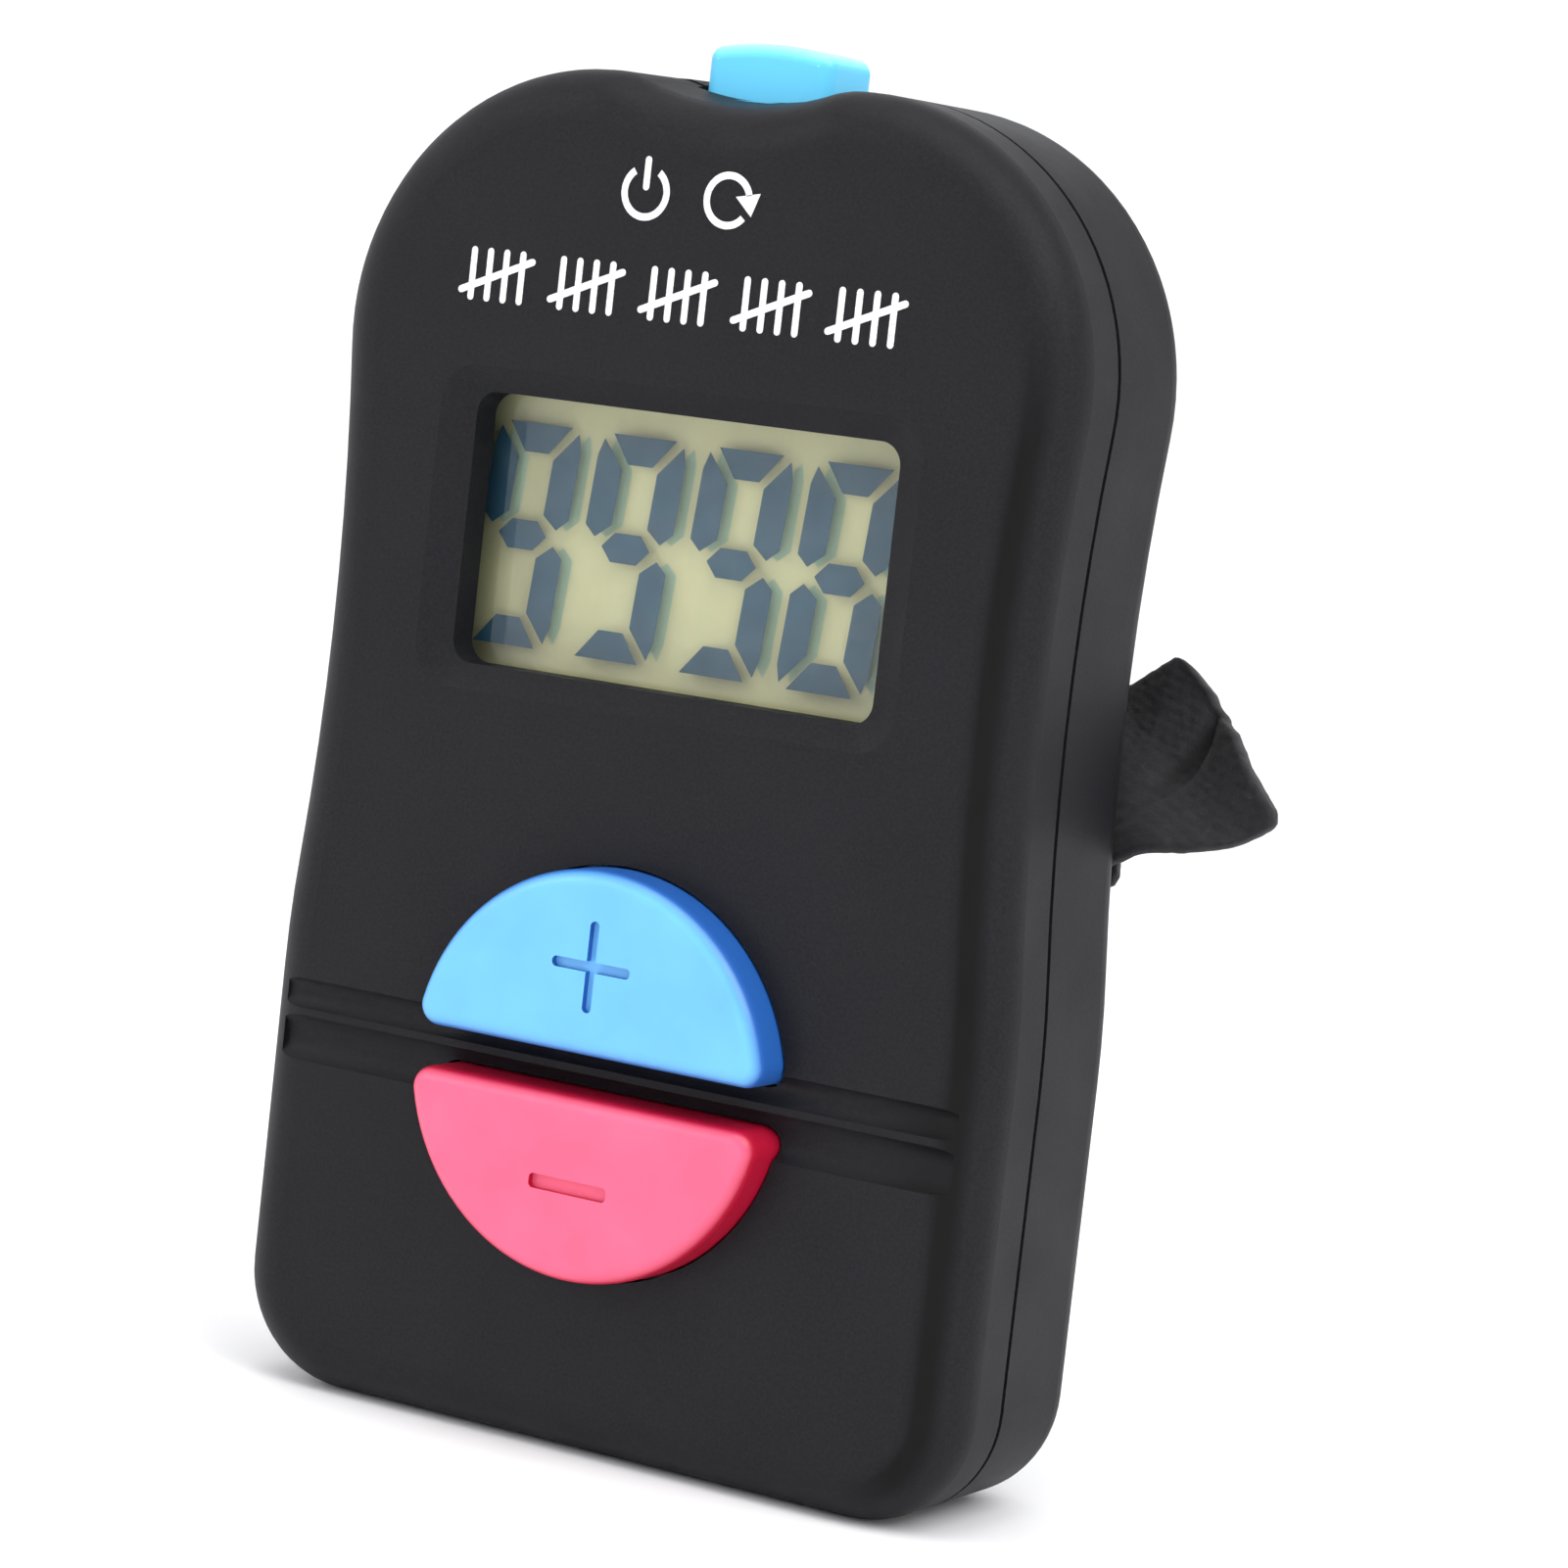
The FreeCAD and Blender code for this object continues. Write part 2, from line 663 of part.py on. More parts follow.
def add_posts(body, name, spots, radius, rear, hole):
    """Screw posts from the front wall to the given depth, each with a blind hole from behind."""
    bottom = S.front_wall + 0.8
    posts = face_sketch(body, name, S.front_wall)
    holes = face_sketch(body, name + "_holes", bottom)
    for x, z in spots:
        circle(posts, x, z, radius)
        circle(holes, x, z, hole)
    pad(body, posts, rear - S.front_wall)
    pocket(body, holes, rear - S.front_wall)


def front_shell():
    body = new_body("front_shell")
    block = pad(body, outline(body, "front_outline", 0, 0), S.front_shell_depth)
    scoop = cut_scoop(body, "front_scoop")
    blended = fillet(body, scoop, S.scoop_blend, rims_scoop)
    face_y = at_depth(0).number
    fillet(body, blended, S.front_rounding, lambda edge: lies_at_y(edge, face_y))
    pocket(body, outline(body, "front_cavity", S.front_wall, S.side_wall), S.front_shell_depth)
    rebate = outline(body, "front_rebate", SEAM - S.lip_height, S.lip_inset)
    pocket(body, rebate, S.lip_height + OVERRUN)
    add_display_frame(body)
    cut_window(body)
    cut_key_openings(body)
    cut_grooves(body)
    case_hole = S.case_screw_radius + 0.02
    board_hole = S.board_screw_radius + 0.02
    add_posts(body, "case_posts", CASE_SCREWS, S.case_post_radius, S.case_post_rear, case_hole)
    add_posts(body, "board_posts", BOARD_SCREWS, S.board_post_radius, S.board_depth, board_hole)
    cut_key_slot(body, "front_key_slot")


def add_well(body):
    """The round well of the button cell, with the ledge that the door's lugs grip and the door's seat."""
    ring = face_sketch(body, "well", S.well_front)
    circle(ring, 0, S.cell_level, S.well_radius + S.well_wall)
    circle(ring, 0, S.cell_level, S.well_radius)
    pad(body, ring, REAR_INSIDE - S.well_front)
    ledge = face_sketch(body, "well_ledge", LEDGE_FRONT)
    circle(ledge, 0, S.cell_level, S.well_radius + BITE)
    circle(ledge, 0, S.cell_level, S.mouth_radius)
    pad(body, ledge, REAR_INSIDE - LEDGE_FRONT)
    seat = circle(face_sketch(body, "door_seat", DOOR_SEAT), 0, S.cell_level, S.door_radius + 0.12)
    pocket(body, seat, S.door_thick + OVERRUN)
    mouth_front = LEDGE_FRONT - OVERRUN
    mouth = circle(face_sketch(body, "door_mouth", mouth_front), 0, S.cell_level, S.mouth_radius)
    pocket(body, mouth, S.body_depth)


def cut_lug_notches(body):
    """The two notches where the door's lugs drop in, 45 degrees away from where they lock."""
    notch = subtract(body, "Box", "lug_notches")
    bind(notch, "Length", S.notch_span)
    bind(notch, "Width", S.notch_deep)
    bind(notch, "Height", S.notch_width)
    turn = Rotation(Vector(0, 1, 0), 45)
    corner = turn.multVec(Vector(-S.notch_span.number / 2, 0, -S.notch_width.number / 2))
    start = at_depth(LEDGE_FRONT).number - OVERRUN / 2
    notch.Placement = Placement(Vector(corner.x, start, S.cell_level.number + corner.z), turn)
    doc.recompute()


def add_strap_recess(body):
    """The sunk tray for the strap, bridged by a bar that the strap goes under."""
    tray = rectangle(
        face_sketch(body, "strap_tray", RECESS_FLOOR - S.tray_wall),
        -S.recess_half - S.tray_wall,
        RECESS_LOW - S.tray_wall,
        S.recess_half + S.tray_wall,
        RECESS_HIGH + S.tray_wall,
    )
    pad(body, tray, REAR_INSIDE - RECESS_FLOOR + S.tray_wall)
    openings = (("recess_left", -S.recess_half, -S.bar_half), ("recess_right", S.bar_half, S.recess_half))
    for name, left, right in openings:
        sketch = face_sketch(body, name, RECESS_FLOOR)
        pocket(body, rectangle(sketch, left, RECESS_LOW, right, RECESS_HIGH), S.recess_drop + OVERRUN)
    tunnel = subtract(body, "Box", "strap_tunnel")
    bind(tunnel, "Length", S.recess_half * 2)
    bind(tunnel, "Width", S.recess_drop - S.bar_thick)
    bind(tunnel, "Height", S.strap_slot)
    place(tunnel, -S.recess_half, at_depth(RECESS_FLOOR), RECESS_LOW)
    doc.recompute()
    return tunnel


def borders_recess(edge):
    """True for the mouth of the recess at the two ends, and for the bar's outer edges."""
    back = at_depth(BACK).number
    upright = abs(edge.Vertexes[0].Point.x - edge.Vertexes[-1].Point.x) < 1e-4
    middle = samples(edge)[2]
    near = abs(middle.z - S.strap_level.number) < 1
    return lies_at_y(edge, back) and upright and near and abs(middle.x) < S.recess_half.number + 0.1


def add_screw_tubes(body):
    """The tubes that the case screws go down: a clearance hole and a seat for the head in each."""
    tubes = face_sketch(body, "screw_tubes", TUBE_FRONT)
    seats = face_sketch(body, "screw_seats", S.screw_seat)
    holes = face_sketch(body, "screw_holes", TUBE_FRONT - OVERRUN)
    for x, z in CASE_SCREWS:
        circle(tubes, x, z, S.tube_radius)
        circle(seats, x, z, S.case_head_radius + 0.2)
        circle(holes, x, z, S.case_screw_radius + 0.15)
    pad(body, tubes, REAR_INSIDE - TUBE_FRONT)
    pocket(body, seats, S.body_depth)
    pocket(body, holes, S.body_depth)


def rear_shell():
    body = new_body("rear_shell")
    block = pad(body, outline(body, "rear_outline", REAR_START, 0), BACK - REAR_START)
    back_y = at_depth(BACK).number
    fillet(body, block, S.rear_rounding, lambda edge: lies_at_y(edge, back_y))
    pocket(body, outline(body, "rear_cavity", REAR_START, S.side_wall), REAR_INSIDE - REAR_START)
    lip_front = SEAM - S.lip_height + 0.1
    pad(body, outline(body, "rear_lip", lip_front, S.lip_inset + S.lip_clearance), REAR_START - lip_front)
    inside = outline(body, "rear_lip_inside", lip_front - OVERRUN, S.side_wall)
    pocket(body, inside, REAR_START - lip_front + OVERRUN)
    tunnel = add_strap_recess(body)
    fillet(body, tunnel, S.recess_edge, borders_recess)
    add_well(body)
    cut_lug_notches(body)
    add_screw_tubes(body)
    cut_scoop(body, "rear_scoop")
    cut_key_slot(body, "rear_key_slot")


# ---------------------------------------------------------------- the keys


def front_key(name, side, strokes):
    """A hollow half-round key: cap, flange behind the face, post for its switch, and its moulded mark."""
    body = new_body(name)
    lip_front = S.front_wall + 0.05
    lip_rear = lip_front + S.key_lip_thick
    top = face_sketch(body, name + "_cap", -S.key_proud)
    cap = pad(body, half_disc(top, side, S.key_radius, S.key_split / 2), S.key_proud + lip_rear)

    def stands_up(edge):
        points = samples(edge)
        return abs(points[0].y - points[-1].y) > 1 and abs(points[0].x - points[-1].x) < 1e-4

    ends = fillet(body, cap, S.key_corner, stands_up)
    top_y = at_depth(-S.key_proud).number
    fillet(body, ends, S.key_edge, lambda edge: lies_at_y(edge, top_y))
    flange = half_disc(
        face_sketch(body, name + "_flange", lip_front),
        side,
        S.key_radius + S.key_lip,
        S.key_split / 2 - S.key_lip + S.key_gap,
    )
    pad(body, flange, S.key_lip_thick)
    hollow = half_disc(
        face_sketch(body, name + "_hollow", S.key_skin - S.key_proud),
        side,
        S.key_radius - S.key_skin,
        S.key_split / 2 + S.key_skin,
    )
    pocket(body, hollow, S.key_proud + lip_rear)
    middle = S.key_level + S.mark_offset * side
    post_front = S.key_skin - S.key_proud - BITE
    post = circle(face_sketch(body, name + "_post", post_front), 0, middle, S.key_post_radius)
    pad(body, post, PLUNGER_TOP - post_front)
    for number, (half_length, half_height) in enumerate(strokes):
        stroke = rounded_rectangle(
            face_sketch(body, f"{name}_stroke{number}", -S.key_proud),
            -half_length,
            middle - half_height,
            half_length,
            middle + half_height,
            S.mark_end,
        )
        pocket(body, stroke, S.mark_depth)


def crowned_side(body, base):
    """The side view of the top key seen from the front: a rectangle with a slightly arched top."""
    sketch = face_sketch(body, "reset_side", S.reset_front)
    crown = S.reset_crown.number
    half = S.reset_half.number
    top = S.reset_top.number
    radius = (half**2 + crown**2) / (2 * crown)
    lean = math.degrees(math.asin(half / radius))
    edges = [
        line(-half, base.number, half, base.number),
        line(half, base.number, half, top - crown),
        arc(0, top - radius, radius, 90 - lean, 90 + lean),
        line(-half, top - crown, -half, base.number),
    ]
    sketch.addGeometry(edges, False)
    for here in range(4):
        sketch.addConstraint(Sketcher.Constraint("Coincident", here, 2, (here + 1) % 4, 1))
    sketch.addConstraint(Sketcher.Constraint("Horizontal", 0))
    sketch.addConstraint(Sketcher.Constraint("Vertical", 1))
    sketch.addConstraint(Sketcher.Constraint("Vertical", 3))
    dimension(sketch, "DistanceY", 0, 1, base)
    dimension(sketch, "DistanceX", 0, 1, -S.reset_half)
    dimension(sketch, "DistanceX", 0, 2, S.reset_half)
    dimension(sketch, "DistanceY", 1, 2, S.reset_top - S.reset_crown)
    dimension(sketch, "DistanceY", 3, 1, S.reset_top - S.reset_crown)
    dimension(sketch, "Radius", 2, radius)
    return sketch


def reset_key():
    """The top key: a block with a crowned top, a flange under the top wall, and a foot for its switch."""
    body = new_body("reset_key")
    lip_top = CAVITY_TOP - 0.05
    lip_base = lip_top - S.reset_lip
    block = pad(body, crowned_side(body, lip_base), S.reset_thick)
    shoulder = S.reset_top.number - S.reset_crown.number * 2

    def stands_out(edge):
        points = samples(edge)
        crowned = all(point.z > shoulder for point in points)
        return crowned or abs(points[0].z - points[-1].z) > 2

    fillet(body, block, S.reset_edge, stands_out)
    flange = rectangle(
        face_sketch(body, "reset_flange", S.reset_front - 0.7),
        -S.reset_half - S.reset_lip,
        lip_base,
        S.reset_half + S.reset_lip,
        lip_top,
    )
    pad(body, flange, S.reset_thick + 1.4)
    half = S.foot_width / 2
    foot = rectangle(
        face_sketch(body, "reset_foot", S.foot_front), -half, S.foot_tip, half, lip_base + BITE
    )
    pad(body, foot, S.foot_deep)


# ---------------------------------------------------------------- the display


def pane(name, inset, front, rear, bottom, top):
    """A flat layer of the display, as wide as the glass less the inset at each side."""
    return box(name, inset - S.glass_half, S.glass_half - inset, front, rear, bottom, top)


def display():
    """Window, film, two sheets of glass and reflector, with the contact strip and the pad behind them."""
    base = S.glass_base
    crest = S.glass_crest
    reflector_rear = GLASS_REAR + 0.2
    pane("display_window", 0, DISPLAY_SEAT, DISPLAY_SEAT + S.window_thick, base, crest)
    pane("lcd_front_polariser", 0.2, GLASS_FRONT - S.film_thick, GLASS_FRONT, LEDGE_TOP - 0.6, crest - 0.2)
    pane("lcd_front_glass", 0, GLASS_FRONT, GLASS_MIDDLE, base, crest)
    pane("lcd_rear_glass", 0, GLASS_MIDDLE, GLASS_REAR, LEDGE_TOP, crest)
    pane("lcd_reflector", 0.2, GLASS_REAR, reflector_rear, LEDGE_TOP + 0.1, crest - 0.2)
    pane("elastomer_connector", 0.6, GLASS_MIDDLE, S.board_depth, base + 0.15, LEDGE_TOP - 0.15)
    pane("display_foam_pad", 0.7, reflector_rear, S.board_depth, crest - 2.4, crest - 0.8)


# ---------------------------------------------------------------- the electronics


def circuit_board():
    body = new_body("circuit_board")
    plate = face_sketch(body, "board_plate", S.board_depth)
    rectangle(plate, -S.board_half, S.board_base, S.board_half, S.board_shoulder)
    pad(body, plate, S.board_thick)
    neck = rectangle(
        face_sketch(body, "board_neck", S.board_depth),
        -S.board_neck_half,
        S.board_shoulder - BITE,
        S.board_neck_half,
        S.board_crest,
    )
    pad(body, neck, S.board_thick)
    holes = face_sketch(body, "board_holes", S.board_depth - OVERRUN)
    for x, z in BOARD_SCREWS:
        circle(holes, x, z, S.board_screw_radius + 0.1)
    pocket(body, holes, S.board_thick + OVERRUN * 2)


def counter_chip():
    """The chip under its drop of black epoxy: a flat dome on the back of the board."""
    base_radius = 4.5
    height = 1.3
    level = 47.0
    radius = (base_radius**2 + height**2) / (2 * height)
    dome = doc.addObject("Part::Sphere", "counter_chip")
    dome.Radius = radius
    dome.Angle1 = math.degrees(math.asin((radius - height) / radius))
    dome.Placement = Placement(Vector(), Rotation(Vector(1, 0, 0), -90))
    place(dome, 0, at_depth(BOARD_REAR - radius + height), level)


def capacitors():
    """Two small chips beside each other on the back of the board."""
    across, deep, bottom, top = 1.25, 0.8, 44.0, 46.0
    chips = []
    for number, left in enumerate((-9.0, -6.0)):
        name = f"capacitor_{number}"
        chips.append(box(name, left, left + across, BOARD_REAR, BOARD_REAR + deep, bottom, top))
    group("board_capacitors", chips)


def front_switch(name, side):
    """A low push switch on the front of the board: square body with a round plunger."""
    middle = S.key_level + S.mark_offset * side
    half = S.switch_side / 2
    top = S.board_depth - S.switch_height
    case = box(name + "_case", -half, half, top, S.board_depth, middle - half, middle + half)
    bore = rod(name + "_bore", 0, middle, S.plunger_radius + 0.1, top - OVERRUN, S.board_depth + OVERRUN)
    cut(name + "_body", case, bore)
    rod(name + "_plunger", 0, middle, S.plunger_radius, PLUNGER_TOP, PLUNGER_TOP + 1.4)


def reset_switch():
    """A side-pressed switch on the back of the board, under the top key."""
    half, plunger_half, gap = 3.0, 0.9, 0.1
    rear = S.foot_front + S.foot_deep
    base = S.reset_switch_base
    crest = S.reset_switch_crest
    case = box("reset_switch_case", -half, half, BOARD_REAR, BOARD_REAR + 3.2, base, crest)
    slot = box(
        "reset_switch_slot",
        -plunger_half - gap,
        plunger_half + gap,
        S.foot_front - gap,
        rear + gap,
        base + 0.8,
        crest + OVERRUN,
    )
    cut("reset_switch_body", case, slot)
    box(
        "reset_switch_plunger",
        -plunger_half,
        plunger_half,
        S.foot_front,
        rear,
        S.foot_tip - 2.2,
        S.foot_tip,
    )


# ---------------------------------------------------------------- the battery


def battery_cell():
    """The button cell: a can with its narrower cap towards the board."""
    rear = S.cell_depth + S.cell_thick
    step = 0.35
    rim = rod("cell_can", 0, S.cell_level, S.cell_radius, S.cell_depth + step, rear)
    cap = rod("cell_cap", 0, S.cell_level, S.cell_radius - 0.9, S.cell_depth, S.cell_depth + step + 0.05)
    fuse("battery_cell", rim, cap)


def contacts():
    """Bent strips on the back of the board: one under the middle of the cell, one against its side."""
    sheet_metal = 0.2
    level = S.cell_level
    rear = BOARD_REAR + sheet_metal
    front = S.cell_depth - sheet_metal
    foot = box("minus_foot", -2.0, 2.0, BOARD_REAR, rear, level - 4, level - 1)
    riser = box("minus_riser", -1.2, 1.2, BOARD_REAR, S.cell_depth, level - 1.2, level - 1)
    tongue = box("minus_tongue", -1.2, 1.2, front, S.cell_depth, level - 1.2, level + 3)
    fuse("negative_contact", foot, riser, tongue)
    half = 1.6
    edge = -S.cell_radius - 0.02
    sole = box("plus_foot", edge - 2.2, edge, BOARD_REAR, rear, level - half, level + half)
    blade = box("plus_blade", edge - sheet_metal, edge, BOARD_REAR, 9.0, level - half, level + half)
    fuse("positive_contact", sole, blade)


def add_lugs(body, skirt_radius):
    """The door's two lugs, which stand out of its skirt under the ledge."""
    inner = skirt_radius - BITE
    outer = S.well_radius - 0.3
    half = S.lug_width / 2
    for name, left, right in (("lug_left", -outer, -inner), ("lug_right", inner, outer)):
        sketch = face_sketch(body, name, S.lug_front)
        lug = rectangle(sketch, left, S.cell_level - half, right, S.cell_level + half)
        pad(body, lug, LEDGE_FRONT - S.lug_front - 0.1)


def battery_door():
    """The round door: a disc with a coin slot, a skirt that goes through the mouth, and two lugs."""
    body = new_body("battery_door")
    skirt_radius = S.mouth_radius - 0.2
    press_front = S.cell_depth + S.cell_thick + 0.05
    face = face_sketch(body, "door_disc", DOOR_SEAT)
    disc = pad(body, circle(face, 0, S.cell_level, S.door_radius), S.door_thick)
    back_y = at_depth(BACK).number
    fillet(body, disc, 0.25, lambda edge: lies_at_y(edge, back_y))
    skirt = face_sketch(body, "door_skirt", S.lug_front)
    circle(skirt, 0, S.cell_level, skirt_radius)
    circle(skirt, 0, S.cell_level, S.cell_radius + 0.2)
    pad(body, skirt, DOOR_SEAT - S.lug_front)
    add_lugs(body, skirt_radius)
    press = circle(face_sketch(body, "door_press", press_front), 0, S.cell_level, 2.0)
    pad(body, press, DOOR_SEAT - press_front)
    half_length = S.coin_slot / 2
    slot = rounded_rectangle(
        face_sketch(body, "coin_slot", BACK - 0.7),
        -half_length,
        S.cell_level - 0.8,
        half_length,
        S.cell_level + 0.8,
        0.75,
    )
    pocket(body, slot, OVERRUN)


# ---------------------------------------------------------------- the screws


def screw(name, x, z, shank, head, seat, head_thick):
    """A pan-head screw driven from behind: the head behind its seat and the shank in front of it."""
    tip = 3.2
    arm = 0.15
    reach = head * 0.6
    socket = seat + head_thick * 0.45
    cap = rod(name + "_head", x, z, head, seat, seat + head_thick)
    stem = rod(name + "_shank", x, z, shank, tip, seat + 0.1)
    whole = fuse(name + "_blank", cap, stem)
    arms = []
    for number, (across, along) in enumerate(((reach, size(arm)), (size(arm), reach))):
        arms.append(
            box(
                f"{name}_recess{number}",
                size(x) - across,
                size(x) + across,
                socket,
                seat + head_thick + OVERRUN,
                size(z) - along,
                size(z) + along,
            )
        )
    return cut(name, whole, fuse(name + "_recess", *arms))


def screws():
    case = [
        screw(f"case_screw_{i}", x, z, S.case_screw_radius, S.case_head_radius, S.screw_seat, 1.0)
        for i, (x, z) in enumerate(CASE_SCREWS)
    ]
    group("case_screws", case)
    board = [
        screw(f"board_screw_{i}", x, z, S.board_screw_radius, S.board_head_radius, BOARD_REAR, 0.6)
        for i, (x, z) in enumerate(BOARD_SCREWS)
    ]
    group("board_screws", board)


# ---------------------------------------------------------------- the finger strap

# The strap's middle line seen from above, as (x, depth): from the outer end round the finger, under the bar,
# and out to the inner end. The two ends lie on each other to the right of the counter.
STRAP_ROUTE = [
    (19.0, 16.9),
    (14.0, 16.0),
    (10.4, 27.5),
    (-1.0, 31.5),
    (-12.5, 25.0),
    (-12.4, 14.6),
    (-6.6, 10.5),
    (6.6, 10.5),
    (12.4, 13.8),
    (20.0, 15.4),
]
# The free ends seen from the front: a corner of webbing that points up and to the right
STRAP_END = [
    (14.0, 29.8),
    (14.0, 39.0),
    (17.4, 38.7),
    (19.2, 40.8),
    (21.4, 38.3),
    (26.8, 33.4),
    (25.1, 32.6),
    (22.8, 31.9),
    (20.3, 31.3),
    (17.6, 30.2),
]


def rounded_route(points):
    """Straight runs joined by the largest tangent arcs that the runs beside them allow."""
    edges = []
    start = points[0]
    for before, here, after in zip(points, points[1:], points[2:]):
        into = (here - before).normalize()
        out = (after - here).normalize()
        run = min((here - before).Length, (after - here).Length) * 0.45
        half_turn = into.getAngle(out) / 2
        radius = run / math.tan(half_turn)
        first = here - into * run
        last = here + out * run
        inward = (out - into).normalize()
        middle = here + inward * (radius / math.cos(half_turn) - radius)
        edges.append(Part.LineSegment(start, first).toShape())
        edges.append(Part.Arc(first, middle, last).toShape())
        start = last
    edges.append(Part.LineSegment(start, points[-1]).toShape())
    return edges


def finger_strap():
    """One strip of webbing that closes on itself, as a plain solid."""
    width = S.strap_width.number
    thick = S.strap_thick.number
    level = S.strap_level.number
    low = level - width / 2
    points = [Vector(x, at_depth(depth).number, low) for x, depth in STRAP_ROUTE]
    route = Part.Wire(rounded_route(points))
    heading = (points[1] - points[0]).normalize()
    aside = Vector(-heading.y, heading.x, 0) * (thick / 2)
    corners = [points[0] - aside, points[0] + aside]
    corners += [corner + Vector(0, 0, width) for corner in reversed(corners)]
    profile = Part.makePolygon(corners + [corners[0]])
    band = route.makePipeShell([profile], True, True)
    outline_points = [Vector(x, at_depth(15.0).number, z) for x, z in STRAP_END]
    flap = Part.Face(Part.makePolygon(outline_points + [outline_points[0]])).extrude(Vector(0, 2.0, 0))
    item = doc.addObject("Part::Feature", "finger_strap")
    item.Shape = band.fuse(flap).removeSplitter()
    item.Placement = Placement()


# ---------------------------------------------------------------- the whole counter

NODES = [
    "front_shell",
    "rear_shell",
    "plus_key",
    "minus_key",
    "reset_key",
    "display_window",
    "lcd_front_polariser",
    "lcd_front_glass",
    "lcd_rear_glass",
    "lcd_reflector",
    "elastomer_connector",
    "display_foam_pad",
    "circuit_board",
    "counter_chip",
    "board_capacitors",
    "plus_switch_body",
    "plus_switch_plunger",
    "minus_switch_body",
    "minus_switch_plunger",
    "reset_switch_body",
    "reset_switch_plunger",
    "battery_cell",
    "negative_contact",
    "positive_contact",
    "battery_door",
    "case_screws",
    "board_screws",
    "finger_strap",
]


def build():
    front_shell()
    rear_shell()
    long_half = S.mark_length / 2
    plus_half = S.plus_stroke / 2
    front_key("plus_key", 1, [(long_half, plus_half), (plus_half, long_half)])
    front_key("minus_key", -1, [(long_half, S.minus_stroke / 2)])
    reset_key()
    display()
    circuit_board()
    counter_chip()
    capacitors()
    front_switch("plus_switch", 1)
    front_switch("minus_switch", -1)
    reset_switch()
    battery_cell()
    contacts()
    battery_door()
    screws()
    finger_strap()
    doc.recompute()


def check():
    """Stops if an object failed or a node's shape isn't a valid solid."""
    for item in doc.Objects:
        if "Invalid" in item.State or "Error" in item.State:
            raise RuntimeError(f"{item.Name}: {item.State}")
    for name in NODES:
        shape = doc.getObject(name).Shape
        if shape.isNull() or not shape.isValid() or not shape.Solids:
            raise RuntimeError(f"{name} has no valid solid")


def write():
    os.makedirs("parts", exist_ok=True)
    for name in NODES:
        doc.getObject(name).Shape.exportStep(f"parts/{name}.step")


build()
check()
write()
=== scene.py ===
"""The looks of a hand tally counter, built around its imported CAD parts.

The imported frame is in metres. Sizes and places below are in millimetres, and MM turns them into metres."""
import math

import bmesh
import bpy
import numpy as np
from mathutils import Matrix, Vector, noise


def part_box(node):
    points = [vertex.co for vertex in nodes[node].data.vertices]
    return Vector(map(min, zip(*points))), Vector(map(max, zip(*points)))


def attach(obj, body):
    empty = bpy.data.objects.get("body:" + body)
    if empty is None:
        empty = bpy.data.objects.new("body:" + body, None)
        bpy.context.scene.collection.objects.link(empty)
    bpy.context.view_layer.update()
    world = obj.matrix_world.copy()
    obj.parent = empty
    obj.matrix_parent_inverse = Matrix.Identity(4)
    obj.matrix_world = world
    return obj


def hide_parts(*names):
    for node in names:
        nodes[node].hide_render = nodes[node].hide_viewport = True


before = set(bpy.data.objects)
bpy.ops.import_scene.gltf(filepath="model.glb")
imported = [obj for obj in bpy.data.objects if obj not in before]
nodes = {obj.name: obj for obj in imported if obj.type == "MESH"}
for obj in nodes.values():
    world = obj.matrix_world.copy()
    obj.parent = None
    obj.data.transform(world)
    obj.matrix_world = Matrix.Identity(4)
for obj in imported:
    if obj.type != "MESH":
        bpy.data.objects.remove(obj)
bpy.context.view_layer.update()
MM = 0.001


def lowest(node):
    """The lowest corner of a CAD node, in millimetres."""
    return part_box(node)[0] / MM


def highest(node):
    """The highest corner of a CAD node, in millimetres."""
    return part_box(node)[1] / MM


def mesh_item(name, build):
    """An object in the scene from a bmesh, with all its faces turned outward."""
    mesh = bpy.data.meshes.new(name)
    bmesh.ops.recalc_face_normals(build, faces=build.faces)
    build.to_mesh(mesh)
    build.free()
    item = bpy.data.objects.new(name, mesh)
    bpy.context.scene.collection.objects.link(item)
    return item


def shade_smooth(item):
    for face in item.data.polygons:
        face.use_smooth = True


# ---------------------------------------------------------------- camera, lights and floor

CAMERA_PLACE = Vector((120.27, -200.59, 55.44))
CAMERA_AZIMUTH = math.radians(30.04)
CAMERA_ELEVATION = math.radians(5.635)
CAMERA_ROLL = math.radians(6.41)
CAMERA_LENS = 113.27
CAMERA_SENSOR = 36
CAMERA_NEAREST = 10

LAMP_TARGET = Vector((0, 0, 35))
WORLD_STRENGTH = 0.80

FLOOR_RADIUS = 900
FLOOR_RISE = 900
FLOOR_BEND = 500
FLOOR_BEND_STEPS = 12
FLOOR_SIDES = 96


def add_camera():
    """A long lens to the right of the front face, a little above it and rolled clockwise."""
    camera = bpy.data.cameras.new("camera")
    camera.lens = CAMERA_LENS
    camera.sensor_width = CAMERA_SENSOR
    camera.clip_start = CAMERA_NEAREST * MM
    item = bpy.data.objects.new("camera", camera)
    turn = Matrix.Rotation(CAMERA_AZIMUTH, 4, "Z")
    tilt = Matrix.Rotation(math.pi / 2 - CAMERA_ELEVATION, 4, "X")
    roll = Matrix.Rotation(CAMERA_ROLL, 4, "Z")
    item.matrix_world = Matrix.Translation(CAMERA_PLACE * MM) @ turn @ tilt @ roll
    bpy.context.scene.collection.objects.link(item)
    bpy.context.scene.camera = item


